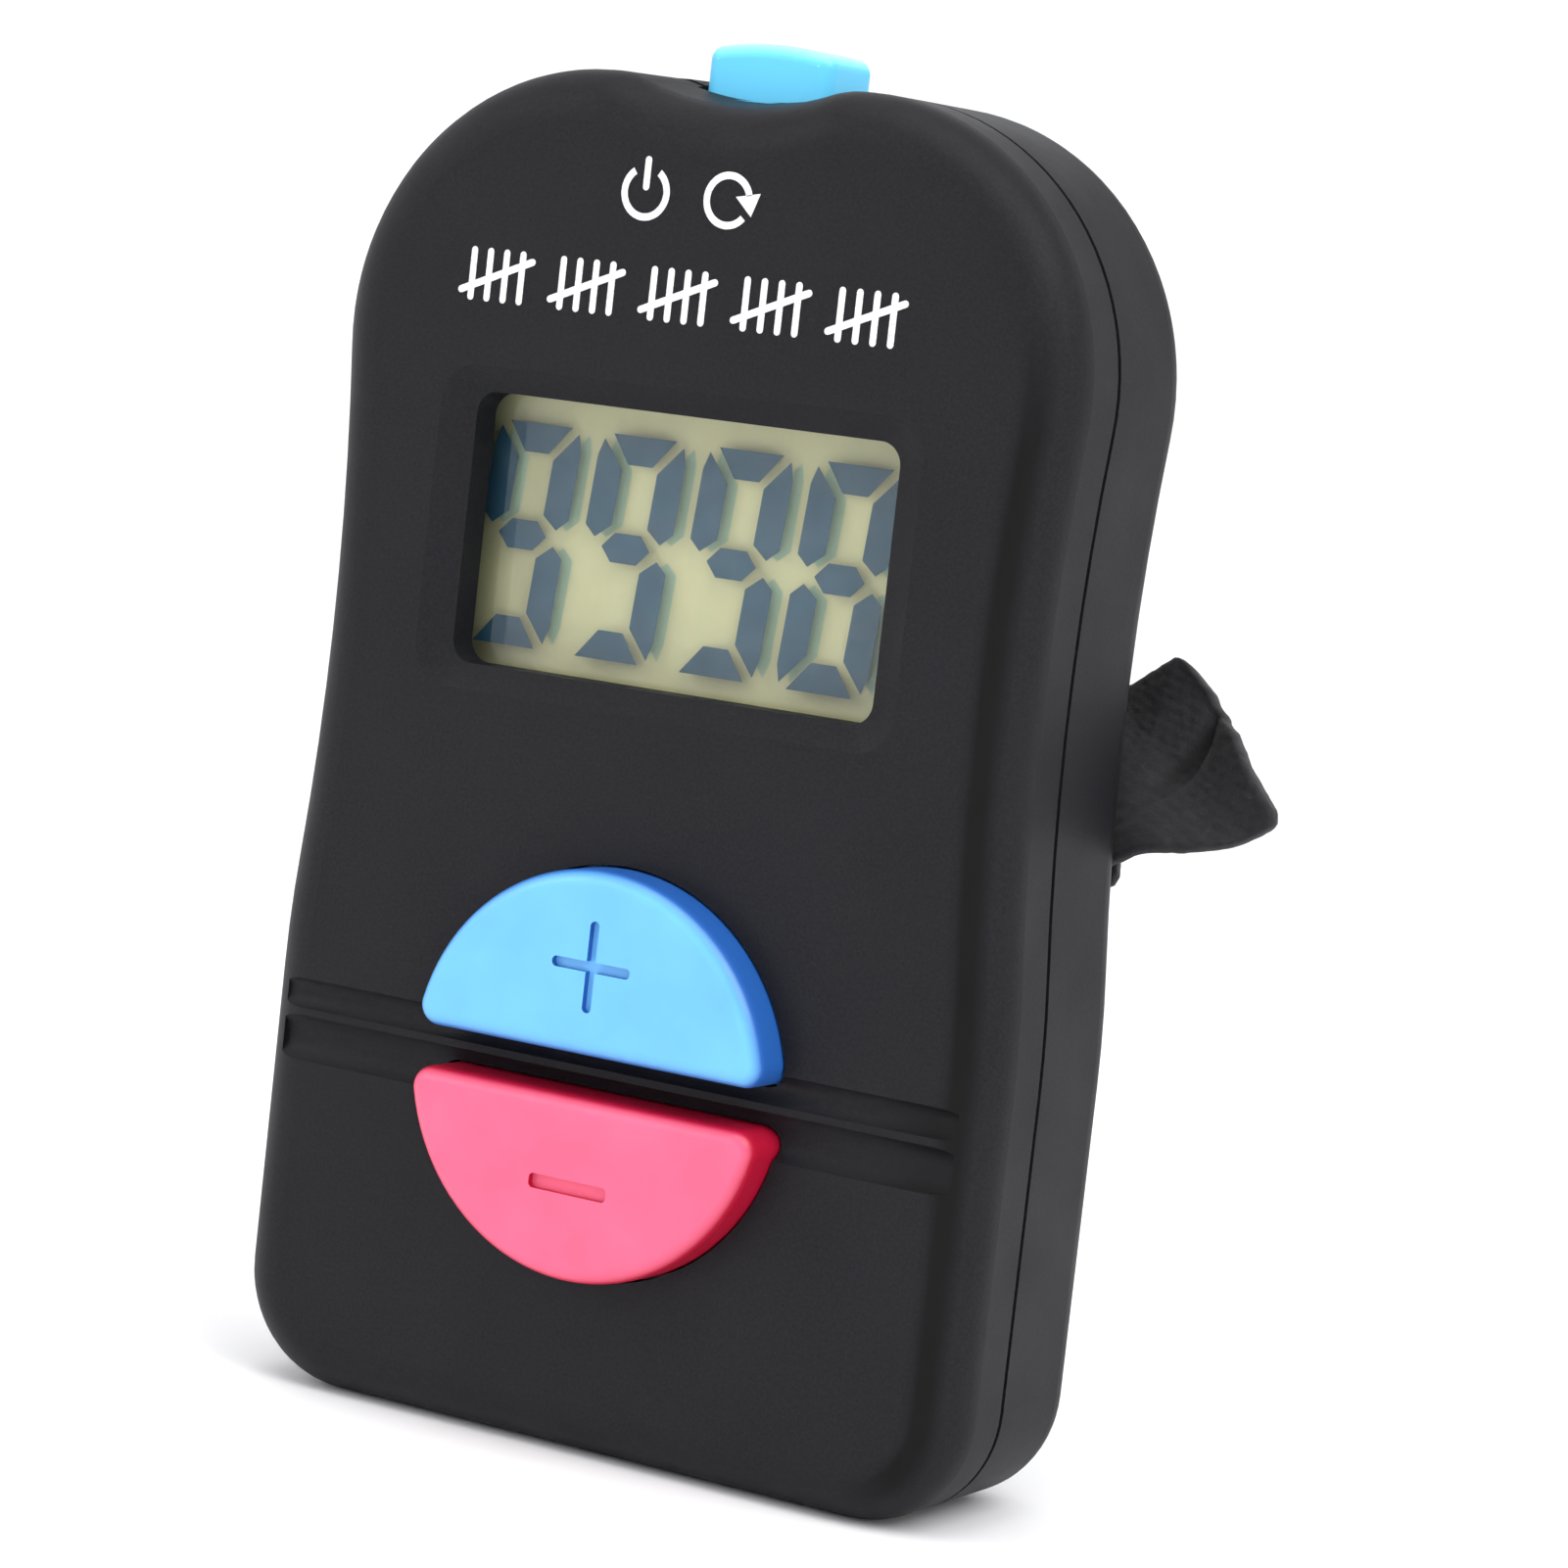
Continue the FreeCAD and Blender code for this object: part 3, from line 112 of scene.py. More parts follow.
def add_lamp(name, azimuth, elevation, distance, side, power):
    """A square area lamp that looks at the counter. Azimuth 0 is in front of the display."""
    lamp = bpy.data.lights.new(name, "AREA")
    lamp.size = side * MM
    lamp.energy = power
    item = bpy.data.objects.new(name, lamp)
    around = Matrix.Rotation(math.radians(azimuth), 3, "Z")
    up = Matrix.Rotation(math.radians(-elevation), 3, "X")
    away = around @ up @ Vector((0, -1, 0))
    item.location = (LAMP_TARGET + away * distance) * MM
    item.rotation_euler = away.to_track_quat("Z", "Y").to_euler()
    item.visible_camera = False
    bpy.context.scene.collection.objects.link(item)


def add_lamps():
    """Soft light from the left front, from the right, and from above."""
    add_lamp("left_lamp", azimuth=-48, elevation=28, distance=600, side=300, power=0.6)
    add_lamp("right_lamp", azimuth=72, elevation=48, distance=600, side=400, power=2.0)
    add_lamp("top_lamp", azimuth=-10, elevation=78, distance=700, side=500, power=1.7)


def light_world():
    """An even white surrounding."""
    world = bpy.data.worlds.new("studio")
    world.use_nodes = True
    background = world.node_tree.nodes["Background"]
    background.inputs["Color"].default_value = (1, 1, 1, 1)
    background.inputs["Strength"].default_value = WORLD_STRENGTH
    bpy.context.scene.world = world


def floor_profile():
    """The floor's radius and height, from its flat middle up into the wall."""
    flat = FLOOR_RADIUS - FLOOR_BEND
    profile = [(100, 0), (250, 0), (flat, 0)]
    for i in range(1, FLOOR_BEND_STEPS + 1):
        angle = math.pi / 2 * i / FLOOR_BEND_STEPS
        profile.append((flat + FLOOR_BEND * math.sin(angle), FLOOR_BEND * (1 - math.cos(angle))))
    profile.append((FLOOR_RADIUS, FLOOR_RISE))
    return profile


def add_floor():
    """A round pale floor that curves up into a wall all the way round."""
    build = bmesh.new()
    angles = [2 * math.pi * j / FLOOR_SIDES for j in range(FLOOR_SIDES)]
    rings = []
    for radius, height in floor_profile():
        points = [Vector((radius * math.cos(angle), radius * math.sin(angle), height)) for angle in angles]
        rings.append([build.verts.new(point * MM) for point in points])
    build.faces.new(rings[0])
    for low, high in zip(rings, rings[1:]):
        for j in range(FLOOR_SIDES):
            build.faces.new((low[j], low[j - 1], high[j - 1], high[j]))
    item = mesh_item("floor", build)
    shade_smooth(item)
    item.data.materials.append(floor_paint())


# ---------------------------------------------------------------- how a material is made


def srgb(red, green, blue):
    """A display colour, 0 to 255, as the linear colour that a shader takes."""
    def linear(value):
        value = value / 255
        return value / 12.92 if value <= 0.04045 else ((value + 0.055) / 1.055) ** 2.4
    return linear(red), linear(green), linear(blue), 1.0


class Paint:
    """A material made of nodes. Patterns are laid out in the part's own millimetres."""

    def __init__(self, name, colour, roughness, **values):
        self.material = bpy.data.materials.new(name)
        self.material.use_nodes = True
        self.tree = self.material.node_tree
        self.shader = self.tree.nodes["Principled BSDF"]
        self.shader.inputs["Base Color"].default_value = colour
        self.shader.inputs["Roughness"].default_value = roughness
        for socket, value in values.items():
            self.shader.inputs[socket.replace("_", " ")].default_value = value
        metres = self.add("ShaderNodeTexCoord").outputs["Object"]
        self.place = self.vector_math("MULTIPLY", metres, (1 / MM, 1 / MM, 1 / MM)).outputs["Vector"]
        self.relief = None

    def add(self, kind, inputs=None, **settings):
        """A node with its settings, and each input linked to a socket or set to a value."""
        node = self.tree.nodes.new(kind)
        for name, value in settings.items():
            setattr(node, name, value)
        for name, value in (inputs or {}).items():
            if isinstance(value, bpy.types.NodeSocket):
                self.tree.links.new(value, node.inputs[name])
            else:
                node.inputs[name].default_value = value
        return node

    def vector_math(self, operation, first, second):
        return self.add("ShaderNodeVectorMath", {0: first, 1: second}, operation=operation)

    def calculate(self, operation, first, second=0.0):
        return self.add("ShaderNodeMath", {0: first, 1: second}, operation=operation).outputs[0]

    def axis(self, letter):
        """The place along one axis, in millimetres."""
        return self.add("ShaderNodeSeparateXYZ", {0: self.place}).outputs[letter]

    def normal(self, letter):
        """How far the surface faces along one of the part's own axes, from -1 to 1."""
        outward = self.add("ShaderNodeTexCoord").outputs["Normal"]
        return self.add("ShaderNodeSeparateXYZ", {0: outward}).outputs[letter]

    def noise(self, size, detail=2.0, rough=0.5, stretch=None):
        """Soft random patches about size millimetres across, from 0 to 1."""
        place = self.place
        if stretch:
            place = self.vector_math("MULTIPLY", place, stretch).outputs["Vector"]
        inputs = {"Vector": place, "Scale": 1 / size, "Detail": detail, "Roughness": rough}
        return self.add("ShaderNodeTexNoise", inputs).outputs[0]

    def cells(self, size):
        """The distance from the nearest of many scattered points about size millimetres apart."""
        return self.add("ShaderNodeTexVoronoi", {"Vector": self.place, "Scale": 1 / size}).outputs[0]

    def between(self, value, low, high, new_low=0.0, new_high=1.0):
        """value scaled so that low and high become new_low and new_high, and kept between them."""
        return self.add("ShaderNodeMapRange", {0: value, 1: low, 2: high, 3: new_low, 4: new_high}).outputs[0]

    def blend(self, factor, first, second):
        """The first colour where factor is 0, the second where it is 1."""
        return self.add("ShaderNodeMix", {0: factor, 6: first, 7: second}, data_type="RGBA").outputs[2]

    def set(self, socket, value):
        self.tree.links.new(value, self.shader.inputs[socket])

    def rough(self, size, detail, low, high):
        """Roughness that wanders between low and high in patches of size millimetres."""
        self.set("Roughness", self.between(self.noise(size, detail), 0.3, 0.7, low, high))

    def bump(self, height, depth, strength=1.0):
        """Adds relief of depth millimetres on top of the relief so far."""
        inputs = {"Height": height, "Distance": depth * MM, "Strength": strength}
        if self.relief is not None:
            inputs["Normal"] = self.relief
        self.relief = self.add("ShaderNodeBump", inputs).outputs[0]
        self.set("Normal", self.relief)


# ---------------------------------------------------------------- materials of the case and keys

GRAIN_SIZE = 0.16
CASE_GREYS = ((16, 16, 19), (22, 22, 26), (31, 31, 35))
# The colour of the painted shade along the right front edge.
EDGE_SHADE_COLOUR = srgb(6, 6, 7)


def floor_paint():
    paint = Paint("studio_floor", srgb(249, 249, 250), 0.7)
    paint.set("Base Color", paint.blend(paint.noise(40, 3), srgb(248, 248, 249), srgb(251, 251, 252)))
    return paint.material


def painted_edge_shade(paint):
    """The darker strip of painted shade along the front edge of the right side, from 0 to 1."""
    depth = paint.calculate("SUBTRACT", paint.axis("Y"), lowest("front_shell").y)
    strip = paint.calculate("MULTIPLY", paint.between(depth, 0.0, 0.1), paint.between(depth, 0.8, 0.35))
    right = paint.between(paint.axis("X"), 14.5, 17.5)
    below_shoulder = paint.between(paint.axis("Z"), 56.0, 50.0)
    return paint.calculate("MULTIPLY", paint.calculate("MULTIPLY", strip, right), below_shoulder)


def case_paint(name, grain, dark=1.0):
    """Charcoal moulded plastic with a fine spark-eroded grain of grain millimetres, and a strip of painted
    shade along the right front edge.
    """
    low, high, fleck = [srgb(*(level * dark for level in grey)) for grey in CASE_GREYS]
    paint = Paint(name, srgb(20, 20, 23), 0.5, Specular_IOR_Level=0.16)
    speck = paint.noise(GRAIN_SIZE, 3, 0.7)
    tone = paint.blend(paint.noise(5.0, 3), low, high)
    grained = paint.blend(paint.between(speck, 0.35, 0.75), tone, fleck)
    # A strip of painted shade along the right front edge darkens the grained plastic.
    paint.set("Base Color", paint.blend(painted_edge_shade(paint), grained, EDGE_SHADE_COLOUR))
    paint.rough(7.0, 4, 0.46, 0.58)
    paint.bump(speck, grain, 0.6)
    paint.bump(paint.noise(1.4, 2), grain * 1.5, 0.25)
    return paint.material


def key_finish(paint):
    """The satin shine and fine skin that the three keys share."""
    paint.rough(0.9, 4, 0.30, 0.42)
    paint.bump(paint.noise(0.22, 3), 0.006, 0.5)


def key_paint(name, face, deep):
    """Solid-coloured key plastic, with painted shade down its sides in a deeper colour."""
    paint = Paint(name, face, 0.34)
    # Painted shade: the sides, which turn away from the front, take the deeper colour.
    side = paint.between(paint.normal("Y"), -0.95, -0.35)
    tone = paint.blend(paint.between(paint.noise(3.5, 3), 0.3, 0.7, 0.0, 0.16), face, deep)
    paint.set("Base Color", paint.blend(side, tone, deep))
    key_finish(paint)
    paint.bump(paint.noise(2.5, 1), 0.02, 0.3)
    return paint.material


def top_key_paint():
    """Sky-blue plastic, with painted shade down its sides so that the top is paler."""
    paint = Paint("top_key_plastic", srgb(110, 210, 245), 0.34)
    # Painted shade: faces that turn away from straight up take the deeper blue.
    side = paint.between(paint.normal("Z"), 0.9, 0.3)
    cloud = paint.between(paint.noise(2.5, 3), 0.3, 0.7, 0.0, 0.2)
    tone = paint.blend(cloud, srgb(158, 248, 254), srgb(134, 236, 252))
    paint.set("Base Color", paint.blend(side, tone, srgb(96, 208, 252)))
    key_finish(paint)
    return paint.material


def ink_paint():
    """White pad-printed ink, thin enough for the grain below to break it up a little."""
    paint = Paint("white_ink", srgb(235, 235, 235), 0.5)
    speck = paint.noise(0.14, 3, 0.7)
    thin = paint.between(speck, 0.35, 0.6)
    paint.set("Base Color", paint.blend(thin, srgb(205, 205, 208), srgb(246, 246, 246)))
    paint.bump(speck, 0.006, 0.5)
    return paint.material


# ---------------------------------------------------------------- materials of the display

STRAIGHT_SHINE = 0.035
SHADE_RUN = 2.2
SHADE_DEPTH = 0.75


def clear_paint(name, tint, shine, haze, frost):
    """A clear sheet: what is behind it shows, with a shine that grows towards its edges and a faint haze.

    The shine is the same from both sides of a sheet, because light passes through it without bending."""
    paint = Paint(name, tint, 0.06)
    clear = paint.add("ShaderNodeBsdfTransparent", {"Color": tint}).outputs[0]
    gloss = paint.add("ShaderNodeBsdfGlossy", {"Color": (1, 1, 1, 1), "Roughness": frost}).outputs[0]
    dust = paint.add("ShaderNodeBsdfDiffuse", {"Color": (0.8, 0.8, 0.8, 1)}).outputs[0]
    facing = paint.add("ShaderNodeLayerWeight", {"Blend": 0.5}).outputs["Facing"]
    edge = paint.between(paint.calculate("POWER", facing, 5.0), 0.0, 1.0, STRAIGHT_SHINE, 1.0)
    mirrored_share = paint.calculate("MULTIPLY", edge, shine)
    shiny = paint.add("ShaderNodeMixShader", {0: mirrored_share, 1: clear, 2: gloss})
    film = paint.between(paint.noise(1.8, 5, 0.65), 0.45, 0.8, 0.0, haze)
    full = paint.add("ShaderNodeMixShader", {0: film, 1: shiny.outputs[0], 2: dust})
    output = paint.tree.nodes["Material Output"]
    paint.tree.links.new(full.outputs[0], output.inputs["Surface"])
    return paint.material


def rear_glass_paint():
    """Glass that the camera looks through on its way to the reflector."""
    paint = Paint("rear_glass", (0.97, 0.98, 0.96, 1), 0.0, Transmission_Weight=1.0, IOR=1.2)
    paint.bump(paint.noise(6.0, 1), 0.001, 0.1)
    return paint.material


def left_shade(paint):
    """The soft shade that the window's deep left wall leaves on the display, from 0 to 1."""
    edge = lowest("display_window").x
    return paint.between(paint.axis("X"), edge + SHADE_RUN, edge, 0.0, SHADE_DEPTH)


def reflector_paint():
    """Pale sage-beige film behind the display glass, with a faint fibre pattern."""
    paint = Paint("reflector_film", srgb(205, 203, 170), 0.6)
    fibre = paint.noise(0.25, 3, 0.6, (1.0, 1.0, 0.12))
    tone = paint.blend(paint.noise(3.0, 3), srgb(202, 200, 158), srgb(212, 206, 166))
    fibrous = paint.blend(paint.between(fibre, 0.3, 0.75, 0.0, 0.4), tone, srgb(190, 198, 165))
    paint.set("Base Color", paint.blend(left_shade(paint), fibrous, srgb(58, 60, 50)))
    paint.bump(fibre, 0.01, 0.3)
    return paint.material


def segment_paint():
    """Driven liquid crystal: slate blue, a little uneven."""
    paint = Paint("driven_crystal", srgb(80, 98, 122), 0.5)
    tone = paint.blend(paint.noise(0.9, 4, 0.6), srgb(16, 66, 92), srgb(34, 90, 120))
    paint.set("Base Color", paint.blend(left_shade(paint), tone, srgb(14, 20, 26)))
    return paint.material


def digit_shadow_paint():
    """The greenish shadow of the driven crystal on the reflector behind it."""
    paint = Paint("crystal_shadow", srgb(150, 182, 160), 0.6)
    tone = paint.blend(paint.noise(0.7, 3), srgb(146, 178, 156), srgb(162, 188, 164))
    paint.set("Base Color", paint.blend(left_shade(paint), tone, srgb(48, 56, 50)))
    return paint.material


# ---------------------------------------------------------------- materials of the inner pieces and fixings


def steel_paint(name, colour, roughness):
    """Metal with fine drawn scratches and tarnish patches."""
    paint = Paint(name, colour, roughness, Metallic=1.0)
    scratch = paint.noise(0.06, 4, 0.7, (1.0, 1.0, 0.06))
    tarnish = paint.between(paint.noise(1.2, 4), 0.4, 0.75)
    red, green, blue, solid = colour
    paint.set("Base Color", paint.blend(tarnish, colour, (0.7 * red, 0.7 * green, 0.7 * blue, solid)))
    paint.set("Roughness", paint.between(scratch, 0.3, 0.7, roughness - 0.08, roughness + 0.14))
    paint.bump(scratch, 0.004, 0.5)
    return paint.material


def grained_paint(name, first, second, size, roughness):
    """A plain moulded or pressed material: two near tones in patches, and a fine grain."""
    paint = Paint(name, first, roughness)
    speck = paint.noise(size, 4, 0.6)
    paint.set("Base Color", paint.blend(paint.between(speck, 0.3, 0.7), first, second))
    paint.rough(size * 6, 3, roughness - 0.06, roughness + 0.08)
    paint.bump(speck, 0.01, 0.5)
    return paint.material


def board_paint():
    """Green solder mask over copper tracks."""
    paint = Paint("board_laminate", srgb(20, 84, 52), 0.35, Coat_Weight=0.3)
    flat = paint.add("ShaderNodeCombineXYZ", {0: paint.axis("X"), 1: paint.axis("Z")}).outputs[0]
    bricks = paint.add("ShaderNodeTexBrick", {"Vector": flat, "Scale": 0.45, "Mortar Size": 0.06})
    tracks = bricks.outputs["Fac"]
    tone = paint.blend(paint.noise(2.0, 3), srgb(16, 74, 46), srgb(26, 96, 60))
    paint.set("Base Color", paint.blend(tracks, tone, srgb(52, 132, 78)))
    paint.bump(tracks, 0.03, 0.6)
    return paint.material


def stripes_paint():
    """Elastomer strip: thin conducting and clear layers, side by side."""
    layer_pitch = 0.18
    paint = Paint("connector_rubber", srgb(40, 40, 42), 0.6)
    turns = paint.calculate("MULTIPLY", paint.axis("X"), 2 * math.pi / layer_pitch)
    wave = paint.calculate("SINE", turns)
    tone = paint.blend(paint.noise(0.5, 2), srgb(214, 168, 160), srgb(196, 150, 146))
    paint.set("Base Color", paint.blend(paint.between(wave, -0.2, 0.2), srgb(28, 28, 30), tone))
    paint.bump(wave, 0.01, 0.4)
    return paint.material


def foam_paint():
    """Dark closed-cell foam with fine pores."""
    paint = Paint("foam", srgb(58, 58, 60), 0.95)
    pores = paint.cells(0.16)
    paint.set("Base Color", paint.blend(paint.between(pores, 0.1, 0.6), srgb(26, 26, 28), srgb(74, 74, 76)))
    paint.bump(pores, 0.05, 0.8)
    return paint.material


def capacitor_paint():
    """Sand-coloured ceramic with tinned ends."""
    paint = Paint("capacitor_ceramic", srgb(170, 128, 92), 0.4)
    body = paint.blend(paint.noise(0.12, 3), srgb(160, 118, 84), srgb(182, 142, 104))
    low, high = lowest("board_capacitors").z, highest("board_capacitors").z
    half = (high - low) / 2
    away = paint.calculate("ABSOLUTE", paint.calculate("SUBTRACT", paint.axis("Z"), low + half))
    end = paint.between(away, half * 0.6, half * 0.64)
    paint.set("Base Color", paint.blend(end, body, srgb(196, 198, 200)))
    paint.set("Metallic", end)
    return paint.material


# ---------------------------------------------------------------- materials on the CAD nodes


def give(material, *names):
    """The node's slots take this material. The node itself stays as the CAD made it."""
    for name in names:
        for slot in nodes[name].material_slots:
            slot.material = material


def paint_case_and_keys():
    give(case_paint("case_plastic_front", 0.012), "front_shell")
    give(case_paint("case_plastic_rear", 0.016), "rear_shell")
    give(case_paint("case_plastic_door", 0.02, 0.92), "battery_door")
    # The second colour of each key is a deeper tone that also serves as the painted shade on its sides.
    give(key_paint("blue_plastic", srgb(106, 188, 248), srgb(40, 98, 180)), "plus_key")
    give(key_paint("pink_plastic", srgb(250, 97, 135), srgb(185, 16, 52)), "minus_key")
    give(top_key_paint(), "reset_key")


def paint_display():
    give(clear_paint("clear_window", (0.98, 0.98, 0.965, 1), 0.8, 0.01, 0.03), "display_window")
    give(clear_paint("polariser_film", (0.96, 0.965, 0.94, 1), 0.0, 0.01, 0.2), "lcd_front_polariser")
    give(clear_paint("front_glass", (0.99, 0.995, 0.99, 1), 0.0, 0.0, 0.05), "lcd_front_glass")
    give(rear_glass_paint(), "lcd_rear_glass")
    give(reflector_paint(), "lcd_reflector")
    for name in ("display_window", "lcd_front_polariser", "lcd_front_glass", "lcd_rear_glass"):
        let_light_through(nodes[name])


def let_light_through(sheet):
    """A clear sheet casts no shadow, so that the reflector behind it is lit."""
    sheet.visible_shadow = False
    sheet.visible_diffuse = False


def paint_inner_pieces():
    give(stripes_paint(), "elastomer_connector")
    give(foam_paint(), "display_foam_pad")
    give(board_paint(), "circuit_board")
    give(grained_paint("chip_epoxy", srgb(18, 18, 20), srgb(30, 30, 33), 0.5, 0.3), "counter_chip")
    give(capacitor_paint(), "board_capacitors")
    give(grained_paint("switch_plastic", srgb(34, 34, 36), srgb(46, 46, 48), 0.2, 0.5),
         "plus_switch_body", "minus_switch_body", "reset_switch_body")
    give(grained_paint("plunger_plastic", srgb(225, 222, 212), srgb(205, 200, 188), 0.3, 0.45),
         "plus_switch_plunger", "minus_switch_plunger", "reset_switch_plunger")
    give(steel_paint("cell_steel", srgb(200, 202, 205), 0.28), "battery_cell")
    give(steel_paint("contact_metal", srgb(205, 200, 188), 0.32), "negative_contact", "positive_contact")
    give(steel_paint("screw_steel", srgb(150, 152, 156), 0.34), "case_screws", "board_screws")


# ---------------------------------------------------------------- flat printed and driven shapes

CURVE_STEPS = 36
END_STEPS = 6


def add_prisms(name, outlines, front, thick, material):
    """Thin upright plates on the case, from outlines in (x, z), with their front side at y = front."""
    build = bmesh.new()
    for outline in outlines:
        near = [build.verts.new(Vector((x, front, z)) * MM) for x, z in outline]
        far = [build.verts.new(Vector((x, front + thick, z)) * MM) for x, z in outline]
        build.faces.new(near)
        build.faces.new(list(reversed(far)))
        for i in range(len(outline)):
            build.faces.new((near[i - 1], far[i - 1], far[i], near[i]))
    item = mesh_item(name, build)
    item.data.materials.append(material)
    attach(item, "case")


def on_circle(centre, radius, angle):
    return centre[0] + radius * math.cos(angle), centre[1] + radius * math.sin(angle)


def bar(start, end, width):
    """A stroke with round ends from start to end."""
    along = math.atan2(end[1] - start[1], end[0] - start[0])
    turns = [math.pi * i / END_STEPS - math.pi / 2 for i in range(END_STEPS + 1)]
    at_end = [on_circle(end, width / 2, along + turn) for turn in turns]
    at_start = [on_circle(start, width / 2, along + math.pi + turn) for turn in turns]
    return at_end + at_start


def ring_part(centre, radius, width, first, last):
    """A piece of a ring between two angles in degrees, counter-clockwise."""
    angles = [math.radians(first + (last - first) * i / CURVE_STEPS) for i in range(CURVE_STEPS + 1)]
    outer = [on_circle(centre, radius + width / 2, angle) for angle in angles]
    inner = [on_circle(centre, radius - width / 2, angle) for angle in reversed(angles)]
    return outer + inner


# ---------------------------------------------------------------- the display's digits

DIGITS = "9998"
SEGMENTS_OF = {"9": "abcdfg", "8": "abcdefg"}
UPRIGHTS = "bcef"
DIGIT_PITCH = 5.9
DIGITS_TO_LEFT = 1.39
DIGITS_DOWN = 0.16
DIGIT_SLANT = 0.085
DIGIT_HALF = 5.38
SEGMENT_HALF = 0.71
SEGMENT_OUTER = 2.46
SEGMENT_INNER = 1.0
CRYSTAL_DEPTH = 0.03
CRYSTAL_THICK = 0.02
SHADOW_SHIFT = 0.3
SHADOW_LIFT = 0.012
SHADOW_THICK = 0.01


def mirrored(outline, sideways=1, upright=1):
    return [(x * sideways, z * upright) for x, z in outline]


def segment_outlines():
    """The seven plates of a digit about its middle, before the slant."""
    top = DIGIT_HALF
    low = top - 2 * SEGMENT_HALF + 0.02
    cap = [(-1.77, top), (1.77, top), (0.68, low), (-0.68, low)]
    middle = [(-1.36, 0), (-0.72, SEGMENT_HALF), (0.72, SEGMENT_HALF),
              (1.36, 0), (0.72, -SEGMENT_HALF), (-0.72, -SEGMENT_HALF)]
    upright = [(2.22, top - 0.28), (SEGMENT_OUTER, top - 1.1), (SEGMENT_OUTER, 0.95),
               (1.84, 0.4), (SEGMENT_INNER, 1.05), (SEGMENT_INNER, top - 1.68)]
    return {
        "a": cap,
        "b": upright,
        "c": mirrored(upright, upright=-1),
        "d": mirrored(cap, upright=-1),
        "e": mirrored(upright, sideways=-1, upright=-1),
        "f": mirrored(upright, sideways=-1),
        "g": middle,
    }


def digit_outlines(letters, middle, level):
    """The plates of one digit, slanted and in their place."""
    shapes = segment_outlines()
    return [[(middle + x + DIGIT_SLANT * z, level + z) for x, z in shapes[letter]] for letter in letters]


def add_digits():
    """The four driven digits on the inner side of the front glass, and their uprights' shadows behind."""
    crystal = segment_paint()
    shadow = digit_shadow_paint()
    level = (lowest("display_window").z + highest("display_window").z) / 2 - DIGITS_DOWN
    front = highest("lcd_front_glass").y - CRYSTAL_DEPTH
    back = lowest("lcd_reflector").y - SHADOW_LIFT
    for place, digit in enumerate(DIGITS):
        middle = DIGIT_PITCH * (place - (len(DIGITS) - 1) / 2) - DIGITS_TO_LEFT
        plates = digit_outlines(SEGMENTS_OF[digit], middle, level)
        add_prisms(f"display_digit_{place + 1}", plates, front, CRYSTAL_THICK, crystal)
        uprights = [letter for letter in SEGMENTS_OF[digit] if letter in UPRIGHTS]
        cast = digit_outlines(uprights, middle + SHADOW_SHIFT, level)
        add_prisms(f"digit_shadow_{place + 1}", cast, back, SHADOW_THICK, shadow)


# ---------------------------------------------------------------- the white marks

INK_SINK = 0.02
INK_THICK = 0.04
STROKE = 0.34
SIGNS_UP = 8.2
SIGN_RADIUS = 1.15
STANDBY_X = -3.0
TURN_BACK_X = 1.5
TALLY_GROUPS = 5
TALLY_STROKES = 4
TALLY_SPACING = 5.05
TALLY_PITCH = 0.92
TALLY_MIDDLE = -0.65
TALLY_UP = 2.5
TALLY_HEIGHT = 2.2
SLASH_REACH = 2.1
SLASH_INSET = 0.3
SLASH_PROUD = 0.01


def standby_sign(level):
    """An open ring with a stroke in its gap."""
    ring = ring_part((STANDBY_X, level), SIGN_RADIUS, STROKE, 125, 415)
    stroke = bar((STANDBY_X, level + 0.25), (STANDBY_X, level + SIGN_RADIUS + 0.35), STROKE)
    return [ring, stroke]


def turn_back_sign(level):
    """Most of a ring, with an arrow head at its open end."""
    ring = ring_part((TURN_BACK_X, level), SIGN_RADIUS, STROKE, 15, 320)
    x, z = TURN_BACK_X + SIGN_RADIUS, level + 0.1
    head = [(x - 0.75, z + 0.1), (x + 0.15, z - 0.75), (x + 0.55, z + 0.35)]
    return [ring, head]


def tally_strokes(middle, low, high):
    """Upright strokes, side by side."""
    places = [middle + TALLY_PITCH * (i - (TALLY_STROKES - 1) / 2) for i in range(TALLY_STROKES)]
    return [bar((x, low), (x, high), STROKE) for x in places]


def tally_slash(middle, low, high):
    """The slanting stroke that closes a group."""
    reach = TALLY_PITCH * SLASH_REACH
    return [bar((middle - reach, low + SLASH_INSET), (middle + reach, high - SLASH_INSET), STROKE)]


def add_print():
    """White marks above the display: a standby sign, a turn-back arrow and five groups of tally strokes."""
    ink = ink_paint()
    front = lowest("front_shell").y - INK_SINK
    window_top = highest("display_window").z
    for name, sign in (("standby_sign", standby_sign), ("turn_back_sign", turn_back_sign)):
        add_prisms(name, sign(window_top + SIGNS_UP), front, INK_THICK, ink)
    low = window_top + TALLY_UP
    high = low + TALLY_HEIGHT
    for group in range(TALLY_GROUPS):
        middle = TALLY_MIDDLE + TALLY_SPACING * (group - (TALLY_GROUPS - 1) / 2)
        strokes = tally_strokes(middle, low, high)
        slash = tally_slash(middle, low, high)
        add_prisms(f"tally_strokes_{group + 1}", strokes, front, INK_THICK, ink)
        add_prisms(f"tally_slash_{group + 1}", slash, front - SLASH_PROUD, INK_THICK, ink)


# ---------------------------------------------------------------- the finger strap

STRAP_HALF = 5.2
STRAP_THICK = 0.9
STRAP_ROWS = 420
STRAP_COLUMNS = 61
LINE_STEPS = 24
